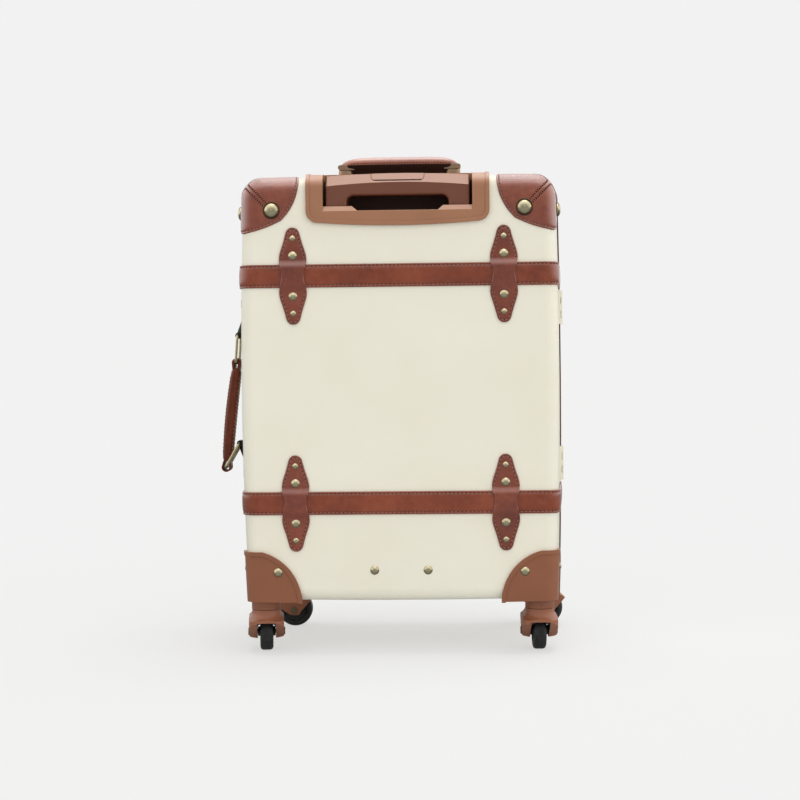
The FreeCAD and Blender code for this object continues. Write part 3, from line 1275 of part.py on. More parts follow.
def fork_seen_side():
    """Fork outline along the trail: crown, hood over the wheel, leg end and leaning front."""
    crown = FORK_CROWN_Z
    x = -FORK_WIDTH
    peak = on_wheel_circle(FORK_HOOD_RADIUS, FORK_HOOD_START)
    brow = on_wheel_circle(FORK_HOOD_RADIUS, 0.5 * (FORK_HOOD_START + FORK_HOOD_END))
    out = on_wheel_circle(FORK_HOOD_RADIUS, FORK_HOOD_END)
    heel = on_wheel_circle(FORK_LEG_RADIUS, FORK_HEEL_ANGLE)
    toe = on_wheel_circle(FORK_LEG_RADIUS, FORK_TOE_ANGLE)
    low = WHEEL_RADIUS - FORK_LEG_RADIUS
    lean = (crown - FORK_NOSE_DROP - toe[1]) / (FORK_NOSE + toe[0])
    front = -FORK_NOSE - OVERRUN
    chin = crown - FORK_NOSE_DROP + lean * OVERRUN
    return prism([
        line((x, front, crown), (x, FORK_NECK_RADIUS, crown)),
        line((x, FORK_NECK_RADIUS, crown), (x, *peak)),
        arc((x, *peak), (x, *brow), (x, *out)),
        line((x, *out), (x, *heel)),
        arc((x, *heel), (x, TRAIL, low), (x, *toe)),
        line((x, *toe), (x, front, chin)),
        line((x, front, chin), (x, front, crown)),
    ], (2.0 * FORK_WIDTH, 0, 0))


def fork_sides(slot_half):
    """Fork outline across: straight sides and slanted leg ends."""
    wide = 0.5 * FORK_WIDTH
    low = WHEEL_RADIUS - FORK_LEG_RADIUS
    right = [(wide + OVERRUN, FORK_CROWN_Z + OVERRUN), (wide + OVERRUN, FORK_TAPER_Z),
             (wide, FORK_TAPER_Z), (wide - FORK_TAPER, low + FORK_TOE_RISE), (slot_half, low)]
    outline = right + [(-across, height) for across, height in reversed(right)]
    return polygon([(across, -OUTSIDE, height) for across, height in outline], (0, 3.0 * OUTSIDE, 0))


def fork_seen_top():
    """Fork outline from above: straight sides and a rounded nose."""
    wide = 0.5 * FORK_WIDTH
    inner = wide - FORK_NOSE_ROUND
    start = FORK_NOSE_ROUND - FORK_NOSE
    lean = FORK_NOSE_ROUND * math.sqrt(0.5)
    far = 3.0 * OUTSIDE
    return prism([
        line((-wide, far, 0), (-wide, start, 0)),
        arc((-wide, start, 0), (-inner - lean, start - lean, 0), (-inner, -FORK_NOSE, 0)),
        line((-inner, -FORK_NOSE, 0), (inner, -FORK_NOSE, 0)),
        arc((inner, -FORK_NOSE, 0), (inner + lean, start - lean, 0), (wide, start, 0)),
        line((wide, start, 0), (wide, far, 0)),
        line((wide, far, 0), (-wide, far, 0)),
    ], (0, 0, FORK_CROWN_Z + OVERRUN))


def fork_arch(slot_half):
    """Front opening of the fork, round at its upper corners."""
    mouth = box(-slot_half, slot_half, -OUTSIDE, TRAIL, -OVERRUN, FORK_ARCH_Z)
    corners = []
    for edge in mouth.Edges:
        start, end = edge.Vertexes
        if abs(start.Y - end.Y) > SAME and min(start.Z, end.Z) > 0.0:
            corners.append(edge)
    return mouth.makeFillet(FORK_ARCH_ROUND, corners)


def fork():
    """Caster fork about its own stem: flared neck, hood over the wheel, front arch, legs and stem.

    The neck is turned ahead of the stem, and drawn straight back over the wheel behind it.
    """
    crown = FORK_CROWN_Z
    far = FORK_BELL_RADIUS
    slot_half = 0.5 * WHEEL_WIDTH + WHEEL_SIDE_GAP
    brow = FORK_NECK_RADIUS + FORK_BELL_SPARE
    bell = revolve([(0.0, 0.0), (far, 0.0), (far, FORK_SHOULDER_Z), (brow, crown), (0.0, crown)],
                   (0, 0, 0), (0, 0, 1))
    outline = fork_seen_side().common(fork_seen_top()).common(fork_sides(slot_half))
    ahead = outline.common(fork_turned()).common(box(-far, far, -far, 0, -OVERRUN, crown + OVERRUN))
    behind = outline.common(fork_drawn()).common(bell)
    pocket = cylinder(WHEEL_RADIUS + WHEEL_TOP_GAP, (-slot_half, TRAIL, WHEEL_RADIUS),
                      (slot_half, TRAIL, WHEEL_RADIUS))
    rims = [e for e in pocket.Edges if isinstance(e.Curve, Part.Circle)]
    body = fuse([ahead, behind]).cut(pocket.makeFillet(FORK_POCKET_ROUND, rims)).cut(fork_arch(slot_half))
    stem = cylinder(STEM_RADIUS, (0, 0, crown - STEM_ROOT), (0, 0, STEM_TOP_Z))
    hole = cylinder(AXLE_RADIUS, (-FORK_WIDTH, TRAIL, WHEEL_RADIUS), (FORK_WIDTH, TRAIL, WHEEL_RADIUS))
    return fuse([body, stem]).cut(hole)


def wheel():
    """Solid wheel with rounded tread, recessed faces and a hub, about its own axle."""
    half = 0.5 * WHEEL_WIDTH
    face = half - WHEEL_RECESS
    bore = AXLE_RADIUS + AXLE_FIT
    edge = WHEEL_EDGE
    mid = WHEEL_EDGE_MID
    hub = half + WHEEL_SIDE_GAP - HUB_SIDE_GAP
    right = [
        (bore, hub), (WHEEL_HUB_RADIUS, hub), (WHEEL_HUB_RADIUS, face), (WHEEL_RECESS_RADIUS, face),
        (WHEEL_RECESS_RADIUS + WHEEL_RECESS_FLARE, half), (WHEEL_RADIUS - edge, half),
        (WHEEL_RADIUS - mid, half - mid), (WHEEL_RADIUS, half - edge),
    ]
    points = right + [(r, -h) for r, h in reversed(right)]
    return revolve(points, (0, TRAIL, WHEEL_RADIUS), (1, 0, 0))


def axle():
    """Riveted axle with a low head outside each leg."""
    half = 0.5 * FORK_WIDTH
    points = [
        (0.0, -half - AXLE_HEAD), (AXLE_HEAD_RADIUS, -half - AXLE_HEAD), (AXLE_HEAD_RADIUS, -half),
        (AXLE_RADIUS, -half), (AXLE_RADIUS, half), (AXLE_HEAD_RADIUS, half),
        (AXLE_HEAD_RADIUS, half + AXLE_HEAD), (0.0, half + AXLE_HEAD),
    ]
    return revolve(points, (0, TRAIL, WHEEL_RADIUS), (1, 0, 0))


def caster_piece(shape, x, y, turn):
    """Copy of a caster piece turned about its stem and moved to its corner."""
    piece = shape.copy()
    piece.rotate(V(0, 0, 0), V(0, 0, 1), turn)
    piece.translate(V(x, y, 0))
    return piece


def export_half(name, place, is_back):
    """Export everything the two halves have in common; place moves it to its half."""
    small = small_rivets_on_keepers()
    large = large_rivets_on_keepers() + foot_rivets()
    studs = cap_studs()
    shell = skin(-WALL, 0.0, BACK_Y - OVERRUN, SHELL_EDGE_Y)
    rim = skin(-WALL - RIM_LIP, RIM_PROUD, RIM_END_Y, SEAM_EDGE_Y).cut(shell)
    lining = skin(-WALL - LINING_THICK, -WALL, BACK_Y - OVERRUN, RIM_END_Y - LINING_SHORT)
    keepers = [keeper(x, z) for x, z in keeper_places()]
    cap = top_cap()
    corner = bottom_corner()
    if is_back:
        small = small + bracket_rivets()
        large = large + base_rivets()
        side = WINDOW_HALF_WIDTH + PAN_WALL
        notch = box(-side, side, BACK_Y - OUTSIDE, BACK_Y + PAN_DEPTH + PAN_WALL,
                    PAN_FLOOR_Z - PAN_WALL, TOP_Z + OUTSIDE)
        wells = [cylinder(WELL_RADIUS, (sign * LUG_X, TOP_HANDLE_Y, well_floor_z() - WELL_FLOOR),
                          (sign * LUG_X, TOP_HANDLE_Y, TOP_Z + OUTSIDE)) for sign in (-1.0, 1.0)]
        cover = box(-COVER_HALF_WIDTH, COVER_HALF_WIDTH, BACK_Y, COVER_FRONT_Y,
                    COVER_BOTTOM_Z, TOP_Z + OUTSIDE)
        shell = shell.cut([notch] + wells)
        lining = lining.cut([notch, cover] + wells)
    shell = shell.cut(small + large + studs)
    export(name + "_shell", place(shell))
    export(name + "_rim", place(rim))
    export(name + "_lining", place(lining))
    export(name + "_upper_belt", place(belt(UPPER_BELT_Z)))
    export(name + "_lower_belt", place(belt(LOWER_BELT_Z)))
    export(name + "_keepers", place(group([k.cut(small + large) for k in keepers])))
    export(name + "_small_rivets", place(group(small)))
    export(name + "_large_rivets", place(group(large)))
    export(name + "_top_caps", place(group([c.cut(studs) for c in (cap, mirror_x(cap))])))
    export(name + "_cap_studs", place(group(studs)))
    export(name + "_bottom_corners", place(group([c.cut(large) for c in (corner, mirror_x(corner))])))


def export_trolley():
    export("trolley_housing", trolley_housing())
    export("outer_tubes", group(tube_pair(0.0, OUTER_TUBE_BOTTOM_Z, PAN_FLOOR_Z)))
    step = TUBE_WALL + TUBE_SLIP
    export("mid_tubes", group(tube_pair(step, MID_TUBE_BOTTOM_Z, MID_TUBE_TOP_Z)))
    export("inner_tubes", group(tube_pair(2.0 * step, INNER_TUBE_BOTTOM_Z, INNER_TUBE_TOP_Z)))
    export("trolley_grip", grip())
    export("release_button", release_button())
    export("tube_base", tube_base().cut(base_rivets()))
    export("tube_cover", tube_cover())


def export_handles():
    export("top_handle_core", top_handle_core())
    export("top_handle_bar", top_handle_bar())
    export("top_handle_screws", group(top_handle_screws()))
    export("handle_wells", group(handle_wells()))
    export("handle_collars", group(handle_collars()))
    brackets = [side_bracket(UPPER_PIVOT_Z, 1.0), side_bracket(LOWER_PIVOT_Z, -1.0)]
    export("side_brackets", group([b.cut(bracket_rivets()) for b in brackets]))
    export("upper_side_ring", ring(UPPER_PIVOT_Z, UPPER_RING_ANGLE))
    export("lower_side_ring", ring(LOWER_PIVOT_Z, LOWER_RING_ANGLE))
    export("side_handle_bar", side_bar())


def export_hinges_and_latches():
    back_leaves = []
    front_leaves = []
    pins = []
    for z in HINGE_Z:
        back_leaves.append(hinge_leaf(z, range(0, HINGE_KNUCKLES, 2), HINGE_PIN))
        front_leaves.append(mirror_y(hinge_leaf(z, range(1, HINGE_KNUCKLES, 2), HINGE_PIN + HINGE_FIT)))
        pins.append(cylinder(HINGE_PIN, (HINGE_AXIS_X, 0, z - 0.5 * HINGE_LENGTH),
                             (HINGE_AXIS_X, 0, z + 0.5 * HINGE_LENGTH)))
    export("back_hinge_leaves", group(back_leaves))
    export("front_hinge_leaves", group(front_leaves))
    export("hinge_pins", group(pins))
    export("latch_catches", group([latch_plate(z) for z in LATCH_Z]))
    export("latch_mounts", group([mirror_y(latch_mount(z)) for z in LATCH_Z]))
    export("lower_latch_hasp", latch_hasp(LATCH_Z[0]))
    export("upper_latch_hasp", latch_hasp(LATCH_Z[1]))


def export_casters():
    places = (
        ("back_left", -CASTER_X, -CASTER_Y, TURN_BACK_LEFT),
        ("back_right", CASTER_X, -CASTER_Y, TURN_BACK_RIGHT),
        ("front_left", -CASTER_X, CASTER_Y, TURN_FRONT_LEFT),
        ("front_right", CASTER_X, CASTER_Y, TURN_FRONT_RIGHT),
    )
    pieces = (("fork", fork()), ("wheel", wheel()), ("axle", axle()))
    for place, x, y, turn in places:
        for kind, shape in pieces:
            export(place + "_" + kind, caster_piece(shape, x, y, turn))


export_half("back", lambda shape: shape, True)
export_half("front", mirror_y, False)
export_trolley()
export_handles()
export_hinges_and_latches()
export_casters()
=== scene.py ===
"""Looks of the hard-sided trolley case: leather trim, handles, finishes, floor, light and camera."""

import json
import math

import bmesh
import bpy
import numpy as np
from mathutils import Matrix, Vector, noise
from mathutils.bvhtree import BVHTree

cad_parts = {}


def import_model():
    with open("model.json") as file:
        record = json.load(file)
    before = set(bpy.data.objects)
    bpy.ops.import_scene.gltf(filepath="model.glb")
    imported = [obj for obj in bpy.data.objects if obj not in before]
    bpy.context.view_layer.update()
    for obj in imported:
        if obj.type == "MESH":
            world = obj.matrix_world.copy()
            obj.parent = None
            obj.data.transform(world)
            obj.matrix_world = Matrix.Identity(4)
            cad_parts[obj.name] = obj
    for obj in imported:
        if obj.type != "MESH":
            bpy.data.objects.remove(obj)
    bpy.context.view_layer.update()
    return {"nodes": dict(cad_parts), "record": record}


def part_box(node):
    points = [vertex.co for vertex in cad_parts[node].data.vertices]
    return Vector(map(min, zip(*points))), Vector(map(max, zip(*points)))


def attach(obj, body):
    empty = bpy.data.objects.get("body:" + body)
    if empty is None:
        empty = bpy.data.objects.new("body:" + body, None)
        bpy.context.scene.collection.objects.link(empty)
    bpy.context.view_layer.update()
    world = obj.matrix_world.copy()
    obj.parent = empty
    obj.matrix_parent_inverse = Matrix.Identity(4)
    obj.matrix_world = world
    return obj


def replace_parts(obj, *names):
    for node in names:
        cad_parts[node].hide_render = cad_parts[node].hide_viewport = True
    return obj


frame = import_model()
NODES = frame["nodes"]
MM = 0.001

# Places that the solids share, in metres
BACK_Y = -0.114
TRIM_END_Y = -0.0078
BELT_Z = (0.4277, 0.1725)
KEEPER_X = 0.118
CAP_CORNER = Vector((-0.1782, -0.114, 0.5383))
CAP_CORE = 0.040
STEM_X, STEM_Y = 0.156, 0.089

# Leather trim, in millimetres
BELT_PITCH = 4.6
KEEPER_PITCH = 4.7
CAP_PITCH = 4.1
TOP_PITCH = 3.4
SIDE_PITCH = 4.4
SEAM_PITCH = 2.5
SEAM_ROW = 2.5
SEAM_SLIT = 1.15
STITCH_INSET = 2.6
THREAD = 0.5
THREAD_SHARE = 0.62
THREAD_LIFT = 0.22
HOLE = 0.85
HOLE_CROWN = 0.10
HOLE_SINK = 0.12

# Rings of a stitch: place along it, thickness and drop, as shares of its length and radius
THREAD_RINGS = ((-0.5, 0.5, 0.8), (-0.36, 0.9, 0.25), (0.0, 1.0, 0.0), (0.36, 0.9, 0.25), (0.5, 0.5, 0.8))
THREAD_FLAT = 0.8


class Shape:
    """Points, faces and two shading values per point, painted shade of grooves and edge paint, for one
    mesh.
    """

    def __init__(self):
        self.points = []
        self.faces = []
        self.groove = []
        self.edge = []

    def add(self, points, faces, groove=None, edge=None):
        base = len(self.points)
        self.points += [tuple(p) for p in points]
        self.faces += [tuple(base + i for i in f) for f in faces]
        self.groove += list(groove) if groove is not None else [0.0] * len(points)
        self.edge += list(edge) if edge is not None else [0.0] * len(points)

    def join(self, other):
        self.add(other.points, other.faces, other.groove, other.edge)
        return self

    def mirrored(self, axis):
        copy = Shape()
        points = np.array(self.points)
        points[:, axis] *= -1.0
        copy.add(points, [f[::-1] for f in self.faces], self.groove, self.edge)
        return copy

    def pair(self):
        return Shape().join(self).join(self.mirrored(0))

    def skirt(self, rim, foot, away_from):
        """A painted wall from a closed rim down to its foot."""
        wall = np.stack([rim, foot], axis=1).reshape(-1, 3)
        faces = grid_faces(len(rim), 2, True)
        self.add(wall, outward(wall, faces, away_from), None, [1.0] * len(wall))

    def build(self, name, body, slot, material=None):
        """The mesh as a piece on a body; without a material it takes the one of its slot."""
        mesh = bpy.data.meshes.new(name)
        mesh.from_pydata(self.points, [], self.faces)
        for key in ("groove", "edge"):
            layer = mesh.attributes.new(key, "FLOAT", "POINT")
            layer.data.foreach_set("value", np.array(getattr(self, key), np.float32))
        mesh.polygons.foreach_set("use_smooth", [True] * len(mesh.polygons))
        mesh.materials.append(material or LOOKS[slot])
        mesh.validate()
        mesh.update()
        piece = bpy.data.objects.new(name, mesh)
        bpy.context.scene.collection.objects.link(piece)
        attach(piece, body)
        return piece


def unit(v):
    v = np.asarray(v, float)
    return v / np.maximum(np.linalg.norm(v, axis=-1, keepdims=True), 1e-12)


def smooth(x, low, high):
    t = np.clip((np.asarray(x, float) - low) / (high - low), 0.0, 1.0)
    return t * t * (3.0 - 2.0 * t)


def tree_of(name):
    mesh = NODES[name].data
    return BVHTree.FromPolygons([v.co for v in mesh.vertices], [list(p.vertices) for p in mesh.polygons])


def grid_faces(rows, columns, closed=False, rings=False):
    """Quads of a grid of points; closed joins the last row to the first, rings closes each row."""
    faces = []
    for i in range(rows if closed else rows - 1):
        k = (i + 1) % rows
        for j in range(columns if rings else columns - 1):
            n = (j + 1) % columns
            faces.append((i * columns + j, i * columns + n, k * columns + n, k * columns + j))
    return faces


def end_faces(count, total):
    """The first and the last row of points, each as one face."""
    return [tuple(range(count)), tuple(range(total - count, total))[::-1]]


def circle(angles):
    """Cosine and sine of angles, or of a number of even steps round a full turn."""
    if isinstance(angles, int):
        angles = [2.0 * math.pi * k / angles for k in range(angles)]
    return [(math.cos(a), math.sin(a)) for a in angles]


def bulge(value, power):
    """A power that keeps the sign, for rounded-square sections."""
    return math.copysign(abs(value) ** power, value)


def bell(value, width):
    return np.exp(-(value / width) ** 2)


def rolled(dist, radius):
    """How far a rounded edge drops below the top, at a distance in from it."""
    near = np.clip(dist, 0.0, radius)
    return radius - np.sqrt(radius ** 2 - (radius - near) ** 2)


def grid_normals(points, away_from, closed=False):
    """Unit normals of a grid of points, turned away from a point inside."""
    if closed:
        along = np.roll(points, -1, 0) - np.roll(points, 1, 0)
    else:
        along = np.gradient(points, axis=0)
    normals = unit(np.cross(along, np.gradient(points, axis=1)))
    flip = np.sum(normals * (points - np.array(away_from)), axis=-1) < 0.0
    normals[flip] *= -1.0
    return normals


def outward(points, faces, away_from):
    """The faces, turned as a whole so that they look away from a point."""
    points = np.array(points)
    total = 0.0
    for f in faces[:: max(1, len(faces) // 50)]:
        a, b, c = points[f[0]], points[f[1]], points[f[2]]
        total += np.dot(np.cross(b - a, c - a), (a + b + c) / 3.0 - np.array(away_from))
    return faces if total > 0.0 else [f[::-1] for f in faces]


def walk(path):
    """Length of a path of points, and a function that gives the places at lengths along it."""
    run = np.concatenate([[0.0], np.cumsum(np.linalg.norm(np.diff(path, axis=0), axis=1))])
    return run[-1], lambda at: np.stack([np.interp(at, run, c) for c in path.T], axis=1)


def resample(path, pitch, closed=False):
    """Even places along a path of points, with the unit direction at each."""
    path = np.array(path)
    if closed:
        path = np.vstack([path, path[:1]])
    length, spots = walk(path)
    count = max(2, int(round(length / pitch)))
    at = (np.arange(count) + 0.5) * length / count
    return spots(at), unit(spots(at + 0.2 * pitch) - spots(at - 0.2 * pitch))


def nearest_rows(places, path, values):
    """For each place, the value that belongs to the nearest point of a path."""
    path = np.array(path)
    values = np.array(values)
    return np.array([values[np.argmin(np.sum((path - p) ** 2, axis=1))] for p in places])


def distances(points, path):
    """Distance from each point to the nearest point of a path."""
    return np.array([math.sqrt(np.min(np.sum((path - p) ** 2, axis=1))) for p in points])


def add_thread(shape, place, along, up, length, radius):
    """One visible stitch: a short thread that dips into the leather at both ends."""
    side = unit(np.cross(along, up))
    up = np.cross(side, along)
    sides = 6
    points = []
    for t, fat, drop in THREAD_RINGS:
        middle = place + along * (t * length) - up * (drop * radius)
        for c, n in circle(sides):
            points.append(middle + side * (radius * fat * c) + up * (THREAD_FLAT * radius * fat * n))
    faces = grid_faces(len(THREAD_RINGS), sides, rings=True)
    faces += [f[::-1] for f in end_faces(sides, len(points))]
    shape.add(points, outward(points, faces, place - up * 0.1 * radius))


def add_hole(shape, place, along, up, radius, narrow=0.85):
    """A dimple painted dark as the shade in a hole where a thread goes through the leather; narrow makes it
    a slit.
    """
    side = unit(np.cross(along, up))
    sides = 8
    points = [place + up * (HOLE_CROWN * MM)]
    for c, n in circle(sides):
        points.append(place + along * (radius * c) + side * (narrow * radius * n) - up * (HOLE_SINK * MM))
    faces = [(0, 1 + k, 1 + (k + 1) % sides) for k in range(sides)]
    shape.add(points, outward(points, faces, place - up))


def sew(threads, holes, path, normals, pitch, closed=False):
    """A row of stitches and the holes between them along a path of points."""
    places, along = resample(path, pitch, closed)
    ups = nearest_rows(places, path, normals)
    for place, direction, up in zip(places, along, ups):
        raised = place + up * (THREAD_LIFT * MM)
        add_thread(threads, raised, direction, up, THREAD_SHARE * pitch, THREAD * MM)
        add_hole(holes, place + direction * (0.5 * pitch), direction, up, HOLE * MM)


# Belts

# Lower half of the section: millimetres up the case and out from it, painted groove shade, painted edge
BELT_PROFILE = [
    (-13.0, -0.2, 0.0, 1.0), (-13.0, 1.0, 0.0, 1.0), (-12.9, 1.6, 0.0, 0.9), (-12.6, 2.05, 0.0, 0.5),
    (-12.1, 2.3, 0.0, 0.15), (-11.5, 2.3, 0.1, 0.0), (-11.1, 2.1, 0.5, 0.0), (-10.75, 1.85, 0.9, 0.0),
    (-10.5, 1.75, 1.0, 0.0), (-10.25, 1.85, 0.9, 0.0), (-9.9, 2.1, 0.5, 0.0), (-9.3, 2.4, 0.15, 0.0),
    (-8.0, 2.62, 0.0, 0.0), (-5.5, 2.8, 0.0, 0.0), (-2.8, 2.88, 0.0, 0.0), (0.0, 2.9, 0.0, 0.0),
]
BELT_PROFILE += [(-t, h, g, e) for t, h, g, e in reversed(BELT_PROFILE[:-1])]
BELT_SKIRT = 4
BELT_STITCH_COLUMN = 8
BELT_TURN = (0.138, -0.076)
RAY_START = 0.4
RAY_TURN = 0.3


def belt_rays():
    """Rays towards the case all round the back half, as (start, direction) at height 0."""
    rays = []
    hub = BELT_TURN
    for y in np.linspace(TRIM_END_Y, hub[1], 34)[:-1]:
        rays.append(((-RAY_START, y), (1.0, 0.0)))
    for c, n in circle(np.linspace(math.pi, 1.5 * math.pi, 34)[:-1]):
        rays.append(((-hub[0] + RAY_TURN * c, hub[1] + RAY_TURN * n), (-c, -n)))
    for x in np.linspace(-hub[0], 0.0, 55):
        rays.append(((x, -RAY_START), (0.0, 1.0)))
    left = rays[:-1]
    return rays + [((-p[0], p[1]), (-d[0], d[1])) for p, d in reversed(left)]


def belt(tree, z, threads, holes):
    """Leather belt round the back half at one height, laid on the shell and sewn along both edges."""
    rays = belt_rays()
    offsets, heights, grooves, edges = zip(*BELT_PROFILE)
    columns = len(BELT_PROFILE)
    base = np.array([[tree.ray_cast(Vector((*start, z + t * MM)), Vector((*way, 0.0)))[0] for t in offsets]
                     for start, way in rays])
    inner = grid_normals(base[:, BELT_SKIRT:-BELT_SKIRT], (0.0, 0.0, z))
    normals = np.pad(inner, ((0, 0), (BELT_SKIRT, BELT_SKIRT), (0, 0)), "edge")
    points = base + normals * (np.array(heights)[None, :, None] * MM)
    shape = Shape()
    flat = points.reshape(-1, 3)
    faces = outward(flat, grid_faces(len(rays), columns), (0.0, 0.0, z))
    faces += end_faces(columns, len(flat))
    shape.add(flat, faces, grooves * len(rays), edges * len(rays))
    for j in (BELT_STITCH_COLUMN, columns - 1 - BELT_STITCH_COLUMN):
        sew(threads, holes, points[:, j], normals[:, j], BELT_PITCH * MM)
    return shape


# Keepers

# Millimetres; the knots are (distance from the belt's centre, half width)
KEEPER_LONG = 54.2
KEEPER_KNOTS = [(0.0, 12.4), (19.0, 15.5), (33.5, 11.95), (48.0, 7.8)]
KEEPER_TIP_RADIUS = 8.006
KEEPER_ROWS = ((0.0, 12.0, 8), (12.0, 20.0, 16), (20.0, 48.0, 24), (48.0, 53.0, 7))
KEEPER_TIP_ROWS = (53.0, 53.4, 53.7, 53.9, 54.05, 54.15)
KEEPER_INSETS = np.array([0.0, 0.2, 0.5, 0.85, 1.3, 1.8, 2.2, 2.6, 3.0, 3.5, 4.3])
KEEPER_THICK = 2.2
KEEPER_BRIDGE = 3.5
KEEPER_BRIDGE_ENDS = (9.0, 18.4)
KEEPER_SWELL, KEEPER_SWELL_END = 0.3, 6.0
KEEPER_ROUND = 1.1
KEEPER_STITCH_HEIGHT = 1.9
KEEPER_SEWN, KEEPER_TIP_TURN = (18.5, 47.5), 0.25
KEEPER_GROOVE_ENDS = (16.5, 19.0)
KEEPER_SINK = 0.1
SWELL_START = 2.6
GROOVE_WIDTH = 0.6
GROOVE_DEPTH = 0.45
EDGE_PAINT = (0.1, 0.9)


def keeper_half_width():
    """Half width of a keeper at a distance from the belt's centre: a smooth curve, then a round tip."""
    d, w = np.array([(-a, b) for a, b in reversed(KEEPER_KNOTS[1:])] + KEEPER_KNOTS).T
    gap = np.diff(d)
    system = np.eye(len(d))
    pull = np.zeros(len(d))
    for i in range(1, len(d) - 1):
        system[i, i - 1:i + 2] = (gap[i - 1], 2.0 * (gap[i - 1] + gap[i]), gap[i])
        pull[i] = 6.0 * ((w[i + 1] - w[i]) / gap[i] - (w[i] - w[i - 1]) / gap[i - 1])
    bend = np.linalg.solve(system, pull)

    def width(at):
        at = abs(at)
        if at > KEEPER_KNOTS[-1][0]:
            return math.sqrt(max(0.0, KEEPER_TIP_RADIUS ** 2 - (at - KEEPER_LONG + KEEPER_TIP_RADIUS) ** 2))
        i = min(int(np.searchsorted(d, at, side="right")) - 1, len(gap) - 1)
        a, b = (d[i + 1] - at) / gap[i], (at - d[i]) / gap[i]
        return float(a * w[i] + b * w[i + 1]
                     + ((a ** 3 - a) * bend[i] + (b ** 3 - b) * bend[i + 1]) * gap[i] ** 2 / 6.0)

    return width


def keeper(x, z, threads, holes):
    """A stitched leather keeper on the back face, bridging the belt at (x, z)."""
    width = keeper_half_width()
    half = np.concatenate([np.linspace(*run, endpoint=False) for run in KEEPER_ROWS] + [KEEPER_TIP_ROWS])
    rows = np.concatenate([-half[:0:-1], half])
    ends = np.linspace(-KEEPER_LONG, KEEPER_LONG, 320)
    outline = np.array([(s * width(d), d) for s in (1.0, -1.0) for d in ends])
    grid = []
    for d in rows:
        w = width(d)
        cut = KEEPER_INSETS * min(1.0, w / 6.0)
        right = np.concatenate([w - cut, np.linspace(w - cut[-1], 0.0, 6)[1:-1]])
        grid.append([(a, d) for a in (*-right, 0.0, *right[::-1])])
    grid = np.array(grid)
    flat = grid.reshape(-1, 2)
    dist = distances(flat, outline)
    d = np.abs(flat[:, 1])
    groove = bell(dist - STITCH_INSET, GROOVE_WIDTH) * smooth(d, *KEEPER_GROOVE_ENDS)
    top = KEEPER_THICK + KEEPER_BRIDGE * (1.0 - smooth(d, *KEEPER_BRIDGE_ENDS))
    top += KEEPER_SWELL * smooth(dist, SWELL_START, KEEPER_SWELL_END)
    top -= rolled(dist, KEEPER_ROUND) + GROOVE_DEPTH * groove
    points = np.stack([x + flat[:, 0] * MM, BACK_Y - top * MM, z + flat[:, 1] * MM], axis=1)
    count, columns = grid.shape[:2]
    shape = Shape()
    faces = outward(points, grid_faces(count, columns), (x, 0.0, z))
    # The stitch groove also carries painted shade.
    shape.add(points, faces, groove, 1.0 - smooth(dist, *EDGE_PAINT))
    ids = np.arange(len(points)).reshape(count, columns)
    rim = points[np.concatenate([ids[:, 0], ids[-1, 1:], ids[-2::-1, -1], ids[0, -2:0:-1]])]
    foot = rim.copy()
    foot[:, 1] = BACK_Y + KEEPER_SINK * MM
    shape.skirt(rim, foot, (x, 0.0, z))
    up = np.array((0.0, -1.0, 0.0))
    side = [(width(v) - 1.06 * STITCH_INSET, v) for v in np.linspace(*KEEPER_SEWN, 40)]
    radius = KEEPER_TIP_RADIUS - STITCH_INSET
    middle = KEEPER_LONG - KEEPER_TIP_RADIUS
    turn = np.linspace(KEEPER_TIP_TURN, math.pi - KEEPER_TIP_TURN, 14)
    tip = [(radius * c, middle + radius * n) for c, n in circle(turn)]
    path = np.array(side + tip + [(-a, v) for a, v in reversed(side)]) * MM
    for sign in (1.0, -1.0):
        places = [(x + a, BACK_Y - KEEPER_STITCH_HEIGHT * MM, z + sign * v) for a, v in path]
        sew(threads, holes, places, [up] * len(places), KEEPER_PITCH * MM)
    return shape


# Leather caps on the top corners

# Millimetres
CAP_THICK = 1.8
CAP_ROUND = 1.0
CAP_SWELL, CAP_SWELL_END = 0.35, 7.0
CAP_SINK = 0.3
SEAM_GROOVE_WIDTH = 1.2
SEAM_GROOVE_DEPTH = 0.3
SEAM_SHADE = 0.35
SEAM_THREAD = 0.4
SEAM_THREAD_LONG = 2.1
SEAM_LIFT = 0.3
CAP_INSETS = np.array([0.0, 0.25, 0.55, 0.9, 1.3, 1.75, 2.15, 2.6, 3.05, 3.5, 4.2, 5.2])
CAP_INNER = 22
CAP_STITCH_COLUMN = 7
SEAM_COLUMN, SEAM_GROOVE_COLUMN = 18, 22
CAP_TURNS, CAP_STEPS = 216, 70
CAP_ACROSS = 67.7
CAP_DOWN = 62.6
CAP_NOTCH = (47.6, 48.4)
CAP_ARCS = (((CAP_ACROSS, 6.0), (61.5, 29.5), CAP_NOTCH), (CAP_NOTCH, (29.0, 56.6), (6.0, CAP_DOWN)))


def arc_points(a, b, c, count):
    """Points on the circle through three points, from the first to the last."""
    a, b, c = (np.array(p) for p in (a, b, c))
    m = np.array([b - a, c - a]) * 2.0
    centre = np.linalg.solve(m, np.array([b @ b - a @ a, c @ c - a @ a]))
    radius = np.linalg.norm(a - centre)
    angles = np.unwrap([math.atan2(*(p - centre)[::-1]) for p in (a, b, c)])
    return [tuple(centre + radius * np.array(p)) for p in circle(np.linspace(angles[0], angles[2], count))]


def cap_polygon():
    """Outline of a cap on one face, as distances from the corner; it runs on past the corner."""
    far = -60.0
    points = [(far, far), (CAP_ACROSS, far)]
    for arc in CAP_ARCS:
        points += arc_points(*arc, 30)
    return points + [(far, CAP_DOWN)]


def inside(polygon, a, b):
    """True where a point lies in a polygon."""
    result = False
    for i in range(len(polygon)):
        (x0, y0), (x1, y1) = polygon[i - 1], polygon[i]
        if (y0 > b) != (y1 > b) and a < x0 + (b - y0) * (x1 - x0) / (y1 - y0):
            result = not result
    return result


